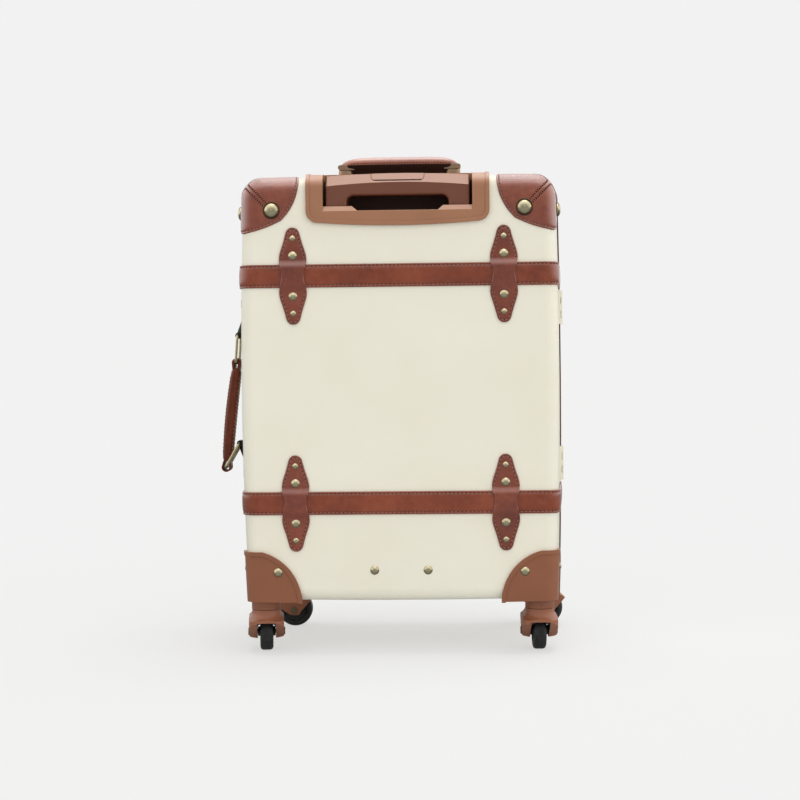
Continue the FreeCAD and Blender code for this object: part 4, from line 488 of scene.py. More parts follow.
def cap(tree, threads, holes):
    """Leather cap of the -X back corner, wrapped on the shell and sewn along its edge and three seams."""
    core = CAP_CORNER + Vector((CAP_CORE, CAP_CORE, -CAP_CORE))
    axis = Vector((-1.0, -1.0, 1.0)).normalized()
    notch = Vector((CAP_NOTCH[0] * MM - CAP_CORE, -CAP_CORE, CAP_CORE - CAP_NOTCH[1] * MM))
    e1 = (notch - axis * notch.dot(axis)).normalized()
    e2 = axis.cross(e1)
    polygon = cap_polygon()

    def on_shell(phi, theta):
        way = axis * math.cos(theta) + (e1 * math.cos(phi) + e2 * math.sin(phi)) * math.sin(theta)
        place = tree.ray_cast(core + way * 0.15, -way)[0]
        return place if place is not None and (place - core).dot(way) > 0.02 else None

    def covered(place):
        ax, ay, az = (place - CAP_CORNER) / MM
        az = -az
        deep = ay * CAP_ACROSS / CAP_DOWN
        return inside(polygon, ax, az) and inside(polygon, deep, az) and inside(polygon, ax, ay)

    turns = CAP_TURNS
    insets = CAP_INSETS * MM
    grid = np.zeros((turns, len(insets) + CAP_INNER, 3))
    for i in range(turns):
        phi = 2.0 * math.pi * i / turns
        low, high = 0.3, 1.6
        for _ in range(18):
            middle = 0.5 * (low + high)
            place = on_shell(phi, middle)
            if place is None or covered(place):
                low = middle
            else:
                high = middle
        line = [on_shell(phi, t) for t in np.linspace(0.0, low, CAP_STEPS)]
        known = [k for k, p in enumerate(line) if p is not None]
        hits = np.array([line[k] for k in known])
        path = np.array([np.interp(range(CAP_STEPS), known, c) for c in hits.T]).T[::-1]
        length, spots = walk(path)
        grid[i] = spots(np.concatenate([insets, np.linspace(insets[-1], length, CAP_INNER + 1)[1:]]))
    normals = grid_normals(grid, core, True)
    normals[:, -1] = np.array(axis)
    flat = grid.reshape(-1, 3)
    border = grid[:, 0]
    dense = np.concatenate([border + (np.roll(border, -1, 0) - border) * f for f in (0.0, 0.25, 0.5, 0.75)])
    dist = distances(flat, dense) / MM
    seam_rows = range(0, turns, turns // 3)
    seam = distances(flat, np.concatenate([grid[row, SEAM_GROOVE_COLUMN:] for row in seam_rows])) / MM
    edge_groove = bell(dist - STITCH_INSET, GROOVE_WIDTH)
    seam_groove = bell(seam - SEAM_ROW, SEAM_GROOVE_WIDTH)
    top = CAP_THICK + CAP_SWELL * smooth(dist, SWELL_START, CAP_SWELL_END)
    top -= rolled(dist, CAP_ROUND) + GROOVE_DEPTH * edge_groove + SEAM_GROOVE_DEPTH * seam_groove
    columns = grid.shape[1]
    points = grid + normals * (top.reshape(turns, columns, 1) * MM)
    points[:, -1] = points[:, -1].mean(axis=0)
    shape = Shape()
    flat = points.reshape(-1, 3)
    faces = outward(flat, grid_faces(turns, columns, True), core)
    # Painted shade in the stitch groove, and weaker along the three seams.
    groove = np.maximum(edge_groove, SEAM_SHADE * seam_groove)
    shape.add(flat, faces, groove, 1.0 - smooth(dist, *EDGE_PAINT))
    shape.skirt(points[:, 0], border - normals[:, 0] * (CAP_SINK * MM), core)
    dist = dist.reshape(turns, columns)
    path = []
    for i in range(turns):
        j = int(np.argmax(dist[i] >= STITCH_INSET))
        f = (STITCH_INSET - dist[i, j - 1]) / max(1e-6, dist[i, j] - dist[i, j - 1])
        path.append(points[i, j - 1] * (1.0 - f) + points[i, j] * f)
    sew(threads, holes, path, normals[:, CAP_STITCH_COLUMN], CAP_PITCH * MM, True)
    for row in seam_rows:
        line = points[row, SEAM_COLUMN:-1]
        places, along = resample(line, SEAM_PITCH * MM)
        ups = nearest_rows(places, line, normals[row, SEAM_COLUMN:-1])
        for place, way, up in zip(places, along, ups):
            side = unit(np.cross(up, way))
            for sign in (1.0, -1.0):
                middle = place + side * (sign * SEAM_ROW * MM) + up * (SEAM_LIFT * MM)
                slant = unit(side - way * (0.5 * sign))
                add_hole(holes, middle, slant, up, SEAM_SLIT * MM, 0.5)
                add_thread(threads, middle + way * (0.5 * SEAM_PITCH * MM), slant, up,
                           SEAM_THREAD_LONG * MM, SEAM_THREAD * MM)
    return shape


# Studs, lathed on the places of the solids

# Half sections as (radius, height) in millimetres
STUD_RING = [(0.0, 0.9), (7.6, 0.9), (7.9, 0.7), (8.3, 1.0), (8.7, 1.45), (9.2, 1.5), (9.6, 1.2),
             (9.75, 0.5), (9.75, -1.2)]
STUD_BUTTON = [(0.0, 5.6), (1.5, 5.55), (3.2, 5.3), (4.8, 4.85), (6.0, 4.3), (7.0, 3.65), (7.7, 2.9),
               (8.0, 2.2), (8.0, 1.5), (7.8, 0.6)]
STUD_TILT = 0.0684


def islands(name):
    """Points of each separate solid of a CAD node."""
    mesh = NODES[name].data
    parent = list(range(len(mesh.vertices)))

    def root(i):
        while parent[i] != i:
            parent[i] = parent[parent[i]]
            i = parent[i]
        return i

    seen = {}
    for v in mesh.vertices:
        key = tuple(round(c, 6) for c in v.co)
        parent[root(v.index)] = root(seen.setdefault(key, v.index))
    for e in mesh.edges:
        parent[root(e.vertices[0])] = root(e.vertices[1])
    groups = {}
    for v in mesh.vertices:
        groups.setdefault(root(v.index), []).append(tuple(v.co))
    return [np.array(g) for g in groups.values()]


def lathe(shape, profile, origin, axis):
    """A turned form about an axis; the profile is (radius, height) in millimetres."""
    sides = 40
    u = unit(np.cross(axis, (0.31, 0.52, 0.8)))
    v = np.cross(axis, u)
    points = []
    for r, h in profile:
        for c, n in circle(sides):
            points.append(origin + axis * (h * MM) + (u * c + v * n) * (max(r, 0.02) * MM))
    faces = grid_faces(len(profile), sides, rings=True) + [tuple(range(sides))]
    shape.add(points, outward(points, faces, origin - axis * 0.02))


def studs(name, rings, buttons):
    """The studs of one half, each at the place of its solid and along its axis."""
    for points in islands(name):
        low, high = points.min(axis=0), points.max(axis=0)
        middle = 0.5 * (low + high)
        flat = int(np.argmin(high - low))
        axis = np.zeros(3)
        axis[flat] = math.copysign(1.0, middle[flat])
        if flat == 0:
            axis[1] = math.copysign(STUD_TILT, middle[1])
            axis = unit(axis)
        span = points @ axis
        top = points[span > span.max() - 0.2 * MM].mean(axis=0)
        origin = top - axis * (STUD_BUTTON[0][1] * MM)
        lathe(rings, STUD_RING, origin, axis)
        lathe(buttons, STUD_BUTTON, origin, axis)


# Padded handle bars

# Top handle: middle across the case; heights of its edge line, crown and underside; half length and width
TOP_Y = -0.039
TOP_EDGE_Z, TOP_CROWN_Z, TOP_LOW_Z = 0.5578, 0.5674, 0.5474
TOP_HALF, TOP_WIDE = 0.068, 0.0138
# Powers of its section; its stitches' place round the section, as a sine, and half the length of their row
TOP_SQUARE, TOP_ARCH = 0.72, 0.85
TOP_STITCH, TOP_SEWN = 0.17, 0.058


def top_section(x):
    """Half width and crown of the top handle's bar at a place along it."""
    s = abs(x) / TOP_HALF
    return TOP_WIDE * (1.0 - s ** 5.0) ** 0.5, (TOP_CROWN_Z - TOP_EDGE_Z) * (1.0 - s ** 6.0) ** 0.62


def top_pad(threads, holes):
    """Padded bar of the top handle: two leather skins over a filling, sewn along the edge line."""
    stations = TOP_HALF * np.sin(np.linspace(-0.5 * math.pi, 0.5 * math.pi, 81)) * 0.999
    around = 40
    points, groove = [], []
    for x in stations:
        wide, crown = top_section(x)
        depth = (TOP_EDGE_Z - TOP_LOW_Z) * (1.0 - smooth(abs(x) / TOP_HALF, 0.86, 1.0) ** 1.4)
        for c, n in circle(around):
            if n >= 0.0:
                y = wide * bulge(c, TOP_SQUARE)
                z = TOP_EDGE_Z + crown * n ** TOP_ARCH
            else:
                y = wide * bulge(c, 0.6) * (1.0 - 0.5 * smooth(-n, 0.0, 0.7))
                z = TOP_EDGE_Z - depth * (-n) ** 0.8
            seam = bell(n, 0.10)
            points.append((x, TOP_Y + y * (1.0 - 0.035 * seam), z))
            # The seam along the edge line gets painted shade.
            groove.append(0.5 * seam)
    points, groove = np.array(points), np.array(groove)
    half_turn = around // 2
    skins = []
    for first in (0, half_turn):
        columns = [(first + k) % around for k in range(half_turn + 1)]
        picked = [i * around + k for i in range(len(stations)) for k in columns]
        faces = grid_faces(len(stations), len(columns)) + end_faces(len(columns), len(picked))
        faces = outward(points[picked], faces, (0.0, TOP_Y, TOP_EDGE_Z))
        skins.append(Shape())
        skins[-1].add(points[picked], faces, groove[picked])
    c = math.sqrt(1.0 - TOP_STITCH ** 2) ** TOP_SQUARE
    n = TOP_STITCH ** TOP_ARCH
    for side in (1.0, -1.0):
        path, ups = [], []
        for x in np.linspace(-TOP_SEWN, TOP_SEWN, 60):
            wide, crown = top_section(x)
            path.append((x, TOP_Y + side * wide * c, TOP_EDGE_Z + crown * n))
            ups.append(unit((0.0, side, 0.55)))
        sew(threads, holes, path, ups, TOP_PITCH * MM)
    return skins


# Side handle: centres of its two ring holes; where its bar starts, its rounded ends and its bow
SIDE_Y = -0.057
SIDE_TOP = np.array((-0.189707, SIDE_Y, 0.330985))
SIDE_LOW = np.array((-0.203231, SIDE_Y, 0.210497))
SIDE_ACROSS = np.array((0.0, 1.0, 0.0))
SIDE_END, SIDE_ROUND, SIDE_BOW = 0.0068, 0.007, 0.0021
# Half width and thickness at the tips and what the full section adds; stitches: out, up, from the end
SIDE_WIDE, SIDE_WIDER = 0.0098, 0.0015
SIDE_THICK, SIDE_THICKER = 0.0032, 0.0022
STITCH_OUT, STITCH_UP, STITCH_END = 0.0086, 0.0047, 0.009
# Its loops: half width, flat part, tail; radius outside; half thickness of the tail, outside and inside
LOOP_WIDE, LOOP_FLAT, LOOP_TAIL = 0.0098, 0.0090, 0.011
LOOP_RADIUS, LOOP_END, LOOP_SLOT = 0.0055, 0.0033, 0.0012


def side_frame():
    """Axis directions of the side bar: along it downwards, out from the case, and its length."""
    along = SIDE_LOW - SIDE_TOP
    length = float(np.linalg.norm(along))
    along = along / length
    out = np.array((along[2], 0.0, -along[0]))
    return along, out if out[0] < 0.0 else -out, length


def side_pad(threads, holes):
    """Padded bar of the side handle with sewn edges."""
    along, out, length = side_frame()
    first, last = SIDE_END, length - SIDE_END
    run = np.linspace(0.0, 1.0, 61)
    stations = first + (last - first) * 0.5 * (1.0 - np.cos(math.pi * run))
    around = 36

    def bow_at(s):
        return SIDE_BOW * math.sin(math.pi * (s - first) / (last - first))

    points, groove = [], []
    for s in stations:
        end = min(s - first, last - s)
        full = math.sqrt(1.0 - (1.0 - max(0.0, end) / SIDE_ROUND) ** 2) if end < SIDE_ROUND else 1.0
        wide = SIDE_WIDE + SIDE_WIDER * full
        thick = SIDE_THICK + SIDE_THICKER * full
        for c, n in circle(around):
            y = wide * bulge(c, 0.55)
            w = thick * bulge(n, 0.75) + bow_at(s) * (0.5 + 0.5 * n)
            seam = bell(n, 0.13)
            points.append(SIDE_TOP + along * s + SIDE_ACROSS * (y * (1.0 - 0.03 * seam)) + out * w)
            # The seam along each edge gets painted shade.
            groove.append(0.2 * seam)
    shape = Shape()
    faces = grid_faces(len(stations), around, rings=True) + end_faces(around, len(points))
    shape.add(points, outward(points, faces, SIDE_TOP + along * (0.5 * length)), groove)
    for sign in (1.0, -1.0):
        for face, share in ((1.0, 0.9), (-1.0, 0.1)):
            edge = SIDE_TOP + SIDE_ACROSS * (sign * STITCH_OUT) + out * (face * STITCH_UP)
            path = [edge + along * s + out * (share * bow_at(s))
                    for s in np.linspace(first + STITCH_END, last - STITCH_END, 50)]
            up = unit(out * face + SIDE_ACROSS * sign * 0.35)
            sew(threads, holes, path, [up] * len(path), SIDE_PITCH * MM)
    return shape


def side_loops():
    """The leather at the ends of the side bar, folded round the rings."""
    along, out, _ = side_frame()
    turn = circle(np.linspace(-0.5 * math.pi, 0.5 * math.pi, 25))

    def bend(radius, end):
        """Path of one skin: a half round with straight tails, as (along, out)."""
        arc = [(radius * c, radius * n) for c, n in turn]
        return [(-LOOP_TAIL, -end)] + arc + [(-LOOP_TAIL, end)]

    # Section across: place, skin (0 outer, 1 inner) and how far the corners ease in
    section = ((-LOOP_WIDE, 0, 0.94), (-LOOP_FLAT, 0, 1.0), (LOOP_FLAT, 0, 1.0), (LOOP_WIDE, 0, 0.94),
               (LOOP_WIDE, 1, 1.0), (-LOOP_WIDE, 1, 1.0))
    corners = len(section)
    shape = Shape()
    for centre, inner, sign in ((SIDE_TOP, 0.0019, -1.0), (SIDE_LOW, 0.0035, 1.0)):
        skins = list(zip(bend(LOOP_RADIUS, LOOP_END), bend(inner, LOOP_SLOT)))
        points = []
        for pair in skins:
            for wide, skin, ease in section:
                u, w = pair[skin]
                points.append(centre + along * (sign * u * ease) + out * (w * ease) + SIDE_ACROSS * wide)
        faces = grid_faces(len(skins), corners, rings=True)
        faces += [f[::-1] for f in end_faces(corners, len(points))]
        shape.add(points, faces, None, [float(skin) for _, skin, _ in section] * len(skins))
    return shape


# Metal details

# Feet of the top handle's lugs: place along it, half width, mid height; layers as (height, share of width)
LUG_X, LUG_HALF, LUG_MIDDLE = 0.0622, 0.0086, 0.549
LUG_LAYERS = [(0.5448, 0.86), (0.5451, 0.94), (0.5458, 0.99), (0.5475, 1.0), (0.5515, 0.97), (0.5532, 0.95)]

# Side brackets: pivot from their outer side, wall from the pivot, knuckle from their end
BRACKET_PIVOT, BRACKET_WALL, BRACKET_KNUCKLE = 0.0035, 0.0058, 0.024
# Their ribs: length; height that falls to the end and height there; half width and what it loses
RIB_LONG = 0.0205
RIB_RISE, RIB_LOW = 0.0084, 0.0007
RIB_WIDE, RIB_TAPER = 0.0062, 0.0034


def lug_feet():
    """Rounded feet under the lugs of the top handle, round the screws and just clear of the collars."""
    shape = Shape()
    sides = 48
    for x in (-LUG_X, LUG_X):
        points = []
        for z, share in LUG_LAYERS:
            half = LUG_HALF * share
            for c, n in circle(sides):
                points.append((x + half * bulge(c, 0.7), TOP_Y + half * bulge(n, 0.7), z))
        faces = grid_faces(len(LUG_LAYERS), sides, rings=True)
        faces += [tuple(range(sides)), tuple(range(len(points) - sides, len(points)))]
        shape.add(points, outward(points, faces, (x, TOP_Y, LUG_MIDDLE)))
    return shape


def bracket_ribs():
    """Pressed ribs of the side brackets, from the knuckle down to the end of the plate."""
    shape = Shape()
    low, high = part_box("side_brackets")
    wall = low[0] + BRACKET_PIVOT + BRACKET_WALL
    rows, columns = 15, 13
    for end, sign in ((high[2], 1.0), (low[2], -1.0)):
        knuckle = end - sign * BRACKET_KNUCKLE
        points = []
        for t in np.linspace(0.0, 1.0, rows):
            z = knuckle + sign * RIB_LONG * t
            rise = RIB_RISE * (1.0 - t) ** 0.85 + RIB_LOW
            half = RIB_WIDE - RIB_TAPER * t
            for c, n in circle(np.linspace(0.0, math.pi, columns)):
                points.append((wall - rise * n ** 0.6, SIDE_Y + half * c, z))
        faces = grid_faces(rows, columns) + end_faces(columns, len(points))
        shape.add(points, outward(points, faces, (wall, SIDE_Y, knuckle + sign * 0.4 * RIB_LONG)))
    return shape


# Lining

# Millimetres: longest edge of the mesh and slack of the cloth; waves of the slack as (scale, share)
LINING_EDGE = 9.0
LINING_SLACK = 0.26
LINING_WAVES = ((26.0, 1.0), (70.0, 0.5))


def lining_cloth(name):
    """Cloth bonded inside one half: the sheet of its solid, meshed finely and given a little slack."""
    form = bmesh.new()
    form.from_mesh(NODES[name].data)
    bmesh.ops.remove_doubles(form, verts=form.verts, dist=0.01 * MM)
    bmesh.ops.triangulate(form, faces=form.faces)
    for _ in range(7):
        long_edges = [e for e in form.edges if e.calc_length() > LINING_EDGE * MM]
        if not long_edges:
            break
        bmesh.ops.subdivide_edges(form, edges=long_edges, cuts=1)
        bmesh.ops.triangulate(form, faces=form.faces)
    form.normal_update()
    for v in form.verts:
        slack = sum(share * noise.noise(v.co * scale) for scale, share in LINING_WAVES)
        v.co += v.normal * (LINING_SLACK * MM * slack)
    shape = Shape()
    form.verts.index_update()
    shape.add([tuple(v.co) for v in form.verts], [tuple(v.index for v in f.verts) for f in form.faces])
    form.free()
    return shape


# Materials

class Nodes:
    """A node tree; add() makes a node and joins or sets its inputs."""

    def __init__(self, owner, output):
        owner.use_nodes = True
        self.tree = owner.node_tree
        self.tree.nodes.clear()
        self.out = self.tree.nodes.new(output)

    def add(self, kind, settings=None, **inputs):
        node = self.tree.nodes.new(kind)
        for key, value in (settings or {}).items():
            setattr(node, key, value)
        for key, value in inputs.items():
            self.set(node, key.replace("_", " "), value)
        return node

    def set(self, node, key, value):
        if isinstance(value, bpy.types.NodeSocket):
            self.tree.links.new(value, node.inputs[key])
        else:
            node.inputs[key].default_value = value

    def math(self, operation, *values):
        node = self.add("ShaderNodeMath", {"operation": operation})
        for key, value in enumerate(values):
            self.set(node, key, value)
        return node.outputs[0]

    def weighted(self, *terms, start=0.0):
        """Sum of values, each times its share."""
        total = start
        for value, share in terms:
            total = self.math("MULTIPLY_ADD", value, share, total)
        return total

    def parts(self, vector):
        return self.add("ShaderNodeSeparateXYZ", Vector=vector).outputs

    def join(self, shader):
        self.tree.links.new(shader.outputs[0], self.out.inputs[0])


class Look(Nodes):
    """One node material."""

    def __init__(self, name):
        self.material = bpy.data.materials.new(name)
        super().__init__(self.material, "ShaderNodeOutputMaterial")
        self.place = self.add("ShaderNodeTexCoord").outputs["Object"]

    def mix(self, share, a, b):
        node = self.add("ShaderNodeMix", {"data_type": "RGBA"})
        for key, value in ((0, share), (6, a), (7, b)):
            self.set(node, key, value)
        return node.outputs[2]

    def noise(self, scale, detail=3.0, roughness=0.55, stretch=None):
        place = self.place
        if stretch:
            place = self.add("ShaderNodeMapping", Vector=place, Scale=stretch).outputs[0]
        node = self.add("ShaderNodeTexNoise", Vector=place, Scale=scale, Detail=detail, Roughness=roughness)
        return node.outputs["Fac"]

    def cells(self, scale):
        return self.add("ShaderNodeTexVoronoi", Vector=self.place, Scale=scale).outputs["Distance"]

    def ramp(self, value, stops):
        node = self.add("ShaderNodeValToRGB", Fac=value)
        marks = node.color_ramp.elements
        marks[0].position, marks[0].color = stops[0]
        marks[1].position, marks[1].color = stops[-1]
        for at, colour in stops[1:-1]:
            marks.new(at).color = colour
        return node.outputs[0]

    def spread(self, value, low, high, to_low=0.0, to_high=1.0):
        node = self.add("ShaderNodeMapRange", {"clamp": True})
        for key, number in enumerate((value, low, high, to_low, to_high)):
            self.set(node, key, number)
        return node.outputs[0]

    def attribute(self, name):
        return self.add("ShaderNodeAttribute", {"attribute_name": name}).outputs["Fac"]

    def bump(self, height, strength, distance, normal=None):
        node = self.add("ShaderNodeBump", Height=height, Strength=strength, Distance=distance)
        if normal is not None:
            self.set(node, "Normal", normal)
        return node.outputs[0]

    def facing(self):
        """X, Y and Z of the direction that a surface looks in, in the frame of its body."""
        turn = {"vector_type": "NORMAL", "convert_from": "WORLD", "convert_to": "OBJECT"}
        normal = self.add("ShaderNodeNewGeometry").outputs["Normal"]
        return self.parts(self.add("ShaderNodeVectorTransform", turn, Vector=normal).outputs[0])

    def rounded(self, radius):
        return self.add("ShaderNodeBevel", {"samples": 4}, Radius=radius).outputs[0]

    def shine(self, value, low, high):
        """Roughness that drifts with a noise."""
        return self.spread(value, 0.3, 0.7, low, high)

    def finish(self, **inputs):
        self.join(self.add("ShaderNodeBsdfPrincipled", **inputs))
        return self.material


def rgb(r, g, b):
    """Linear colour of an sRGB triple from 0 to 255."""
    line = [v / 255.0 for v in (r, g, b)]
    return tuple(v / 12.92 if v <= 0.04045 else ((v + 0.055) / 1.055) ** 2.4 for v in line) + (1.0,)


def shade(colour, share):
    """A colour made darker or lighter."""
    return tuple(min(1.0, c * share) for c in colour[:3]) + (1.0,)


def leather(name, dark, base, light, rough=0.34, puff=None, spec=0.25, coat=0.7):
    """Smooth polished leather: fine grain, faint mottling, painted shade in grooves and seams, painted
    edges.

    puff rounds the shading towards the top, between two heights, as on leather that is padded over an edge.
    """
    look = Look(name)
    blotch = look.noise(24.0, 3.0, 0.5)
    mottle = look.noise(150.0, 4.0, 0.6)
    share = look.weighted((blotch, 0.6), (mottle, 0.4))
    colour = look.ramp(share, [(0.32, dark), (0.5, base), (0.7, light)])
    pits = look.spread(look.cells(1050.0), 0.0, 0.55)
    colour = look.mix(look.spread(pits, 0.0, 1.0, 0.18, 0.0), colour, dark)
    # Painted shade in grooves and seams, and the darker edge paint.
    for key, share in (("groove", 0.88), ("edge", 0.22)):
        colour = look.mix(look.math("MULTIPLY", look.attribute(key), share), colour, shade(dark, 0.3))
    bump = look.bump(look.weighted((pits, 0.7), (look.noise(2600.0, 2.0), 0.3)), 0.20, 0.0003)
    bump = look.bump(mottle, 0.07, 0.0012, bump)
    if puff:
        rise = look.spread(look.parts(look.place)[2], *puff)
        bump = look.bump(look.math("SUBTRACT", 1.0, look.math("MULTIPLY", rise, rise)), 1.0, 0.0065, bump)
    shine = look.shine(mottle, rough - 0.04, rough + 0.08)
    return look.finish(Base_Color=colour, Roughness=shine, Normal=bump, Specular_IOR_Level=spec,
                       Coat_Weight=coat, Coat_Roughness=0.18)


# Painted shade in recesses: bounds of the trolley housing's, and of the wheel pockets', each from clear to
# dark
RECESS_SHADE_Y, RECESS_SHADE_Z = (-0.108, -0.099), (0.5375, 0.534)
POCKET_SHADE_HALF, POCKET_SHADE_TOP = (0.0109, 0.0106), (0.0362, 0.0352)


def plastic(name, base, rough, grain, painted_recess_shade=False, painted_pocket_shade=None, painted_top_light=None):
    """Moulded plastic: fine spark texture, faint colour drift and softened edges.

    A paler colour on faces that look up is painted light from above; painted shade can darken the recess of
    the trolley housing, and the wheel well of a fork, given its stem and its axle's direction.
    """
    look = Look(name)
    darker = shade(base, 0.94)
    colour = look.ramp(look.noise(22.0, 3.0), [(0.3, darker), (0.7, shade(base, 1.06))])
    fine = look.noise(grain, 2.0, 0.6)
    colour = look.mix(look.spread(fine, 0.35, 0.65, 0.0, 0.06), colour, darker)
    x, y, z = look.parts(look.place)
    # Faces that look up get a paler colour: painted light from above.
    if painted_top_light:
        colour = look.mix(look.spread(look.facing()[2], 0.25, 0.6), colour, painted_top_light)
    # Painted shade darkens the recess of the trolley housing, which is made rougher there too.
    if painted_recess_shade:
        recess = look.math("MULTIPLY", look.spread(y, *RECESS_SHADE_Y), look.spread(z, *RECESS_SHADE_Z))
        colour = look.mix(recess, colour, rgb(46, 27, 20))
    # Painted shade darkens each fork between its legs, over the wheel.
    if painted_pocket_shade:
        stem, turn = painted_pocket_shade
        c, n = math.cos(turn), math.sin(turn)
        axle = look.math("SUBTRACT", look.weighted((x, c), (y, n)), stem[0] * c + stem[1] * n)
        between = look.spread(look.math("ABSOLUTE", axle), *POCKET_SHADE_HALF)
        dark = look.math("MULTIPLY", between, look.spread(z, *POCKET_SHADE_TOP))
        colour = look.mix(dark, colour, rgb(24, 18, 16))
    bump = look.bump(fine, 0.08, 0.0003, look.rounded(0.0007))
    shine = look.shine(fine, rough - 0.05, rough + 0.07)
    if painted_recess_shade:
        shine = look.math("MAXIMUM", shine, recess)
    return look.finish(Base_Color=colour, Roughness=shine, Normal=bump)


def brass(name, bright, rim_wear_and_shade, rough):
    """Antique brass, fine patina: paler facing outwards, darker to the rims as wear and as painted shade.
    """
    look = Look(name)
    x, y, _ = look.facing()
    facing = look.math("MAXIMUM", look.math("ABSOLUTE", x), look.math("ABSOLUTE", y))
    patina = look.spread(look.noise(420.0, 5.0, 0.65), 0.38, 0.66)
    # Darker towards the rims: worn finish, and painted shade standing in for darker reflections there.
    share = look.math("MULTIPLY", look.spread(facing, 0.62, 0.96), look.spread(patina, 0.0, 1.0, 1.0, 0.84))
    colour = look.mix(share, rim_wear_and_shade, bright)
    scratch = look.noise(900.0, 3.0, 0.5, (1.0, 1.0, 6.0))
    bump = look.bump(scratch, 0.06, 0.0003, look.rounded(0.0003))
    shine = look.spread(patina, 0.0, 1.0, rough, rough + 0.1)
    return look.finish(Base_Color=colour, Metallic=1.0, Roughness=shine, Normal=bump)


def metal(name, base, rough, stretch):
    """Drawn or plated metal with fine lines along one direction."""
    look = Look(name)
    lines = look.noise(700.0, 3.0, 0.5, stretch)
    colour = look.ramp(lines, [(0.3, shade(base, 0.82)), (0.7, base)])
    bump = look.bump(lines, 0.05, 0.0002, look.rounded(0.0003))
    shine = look.shine(lines, rough - 0.05, rough + 0.08)
    return look.finish(Base_Color=colour, Metallic=1.0, Roughness=shine, Normal=bump)


def fabric(name, dark, light):
    """Plain lining cloth: fine threads with slubs and a soft sheen."""
    look = Look(name)
    weave = look.spread(look.noise(1500.0, 2.0, 0.6), 0.3, 0.7)
    slub = look.noise(130.0, 4.0, 0.6)
    colour = look.ramp(look.weighted((weave, 0.6), (slub, 0.4)), [(0.2, dark), (0.75, light)])
    bump = look.bump(weave, 0.25, 0.0004)
    return look.finish(Base_Color=colour, Roughness=0.9, Normal=bump, Sheen_Weight=0.3)


def matt(name, noise_settings, stops, rough, spec=0.5, bump=None):
    """Matt two-tone finish that follows one noise: thread, and the painted shade of needle holes and of an
    underside.
    """
    look = Look(name)
    grain = look.noise(*noise_settings)
    inputs = {"Normal": look.bump(grain, *bump)} if bump else {}
    colour = look.ramp(grain, stops)
    return look.finish(Base_Color=colour, Roughness=rough, Specular_IOR_Level=spec, **inputs)


def shell_cream():
    """Satin cream shell: faint cloudiness, very fine leather-like emboss."""
    look = Look("shell_cream")
    cloud = look.noise(9.0, 3.0)
    colour = look.ramp(cloud, [(0.3, rgb(236, 229, 208)), (0.7, rgb(240, 234, 215))])
    fine = look.noise(1700.0, 2.0)
    bump = look.bump(look.weighted((look.cells(700.0), 0.5), (fine, 0.5)), 0.05, 0.0003)
    bump = look.bump(look.noise(16.0, 1.0), 0.025, 0.004, bump)
    shine = look.shine(fine, 0.30, 0.40)
    return look.finish(Base_Color=colour, Roughness=shine, Normal=bump)


def wheel_rubber():
    """Black rubber with a little dust."""
    look = Look("wheel_rubber")
    dust = look.noise(140.0, 4.0, 0.6)
    colour = look.ramp(dust, [(0.35, rgb(27, 27, 26)), (0.7, rgb(44, 43, 42))])
    fine = look.noise(2200.0, 2.0)
    bump = look.bump(fine, 0.12, 0.0003, look.rounded(0.0006))
    return look.finish(Base_Color=colour, Roughness=look.shine(dust, 0.42, 0.6), Normal=bump)


LOOKS = {
    "shell_cream": shell_cream(),
    "rim_brown": plastic("rim_brown", rgb(96, 58, 40), 0.45, 2600.0),
    "lining": fabric("lining_fabric", rgb(150, 132, 108), rgb(190, 175, 150)),
    "leather_belt": leather("leather_belt", rgb(112, 47, 23), rgb(132, 59, 31), rgb(148, 71, 41)),
    "leather_keeper": leather("leather_keeper", rgb(102, 38, 17), rgb(123, 51, 25), rgb(142, 65, 36),
                              spec=0.4, coat=1.0),
    "leather_cap": leather("leather_cap", rgb(108, 46, 24), rgb(128, 57, 32), rgb(146, 72, 44),
                           puff=(0.512, 0.5365), spec=0.42, coat=1.0),
    "leather_handle": leather("leather_handle", rgb(84, 35, 18), rgb(103, 45, 23), rgb(120, 57, 33),
                              spec=0.15, coat=0.25),
    "brass": brass("antique_brass", rgb(206, 196, 160), rgb(96, 86, 62), 0.2),
    "bronze": brass("dark_bronze", rgb(142, 122, 98), rgb(66, 54, 42), 0.38),
    "corner_brown": plastic("corner_brown", rgb(140, 84, 54), 0.40, 2400.0),
    # The housing and the grip get a paler colour on faces that look up: painted light from above.
    "housing_brown": plastic("housing_brown", rgb(161, 110, 77), 0.38, 2400.0, painted_recess_shade=True,
                             painted_top_light=rgb(182, 136, 110)),
    # The grip's base colour is darker than the housing's as painted shade on its recessed front.
    "grip_brown": plastic("grip_brown", rgb(112, 62, 40), 0.42, 2400.0, painted_top_light=rgb(156, 110, 86)),
    "tube": metal("satin_tube", (0.62, 0.62, 0.64, 1.0), 0.34, (1.0, 1.0, 0.04)),
    "inner_plastic": plastic("inner_plastic", rgb(34, 27, 24), 0.5, 2400.0),
    "wheel_black": wheel_rubber(),
}
# Paler than the side handle's leather of the same slot: painted light from above on the top handle.
TOP_LEATHER_LIT = leather("leather_top_handle_lit", rgb(128, 66, 44), rgb(148, 82, 58), rgb(166, 100, 75), 0.38,
                      spec=0.45, coat=1.0)
LUG_BRONZE = brass("lug_bronze", rgb(166, 138, 114), rgb(122, 100, 80), 0.42)
BRACKET_DARK = brass("bracket_dark", rgb(58, 58, 54), rgb(24, 24, 23), 0.34)
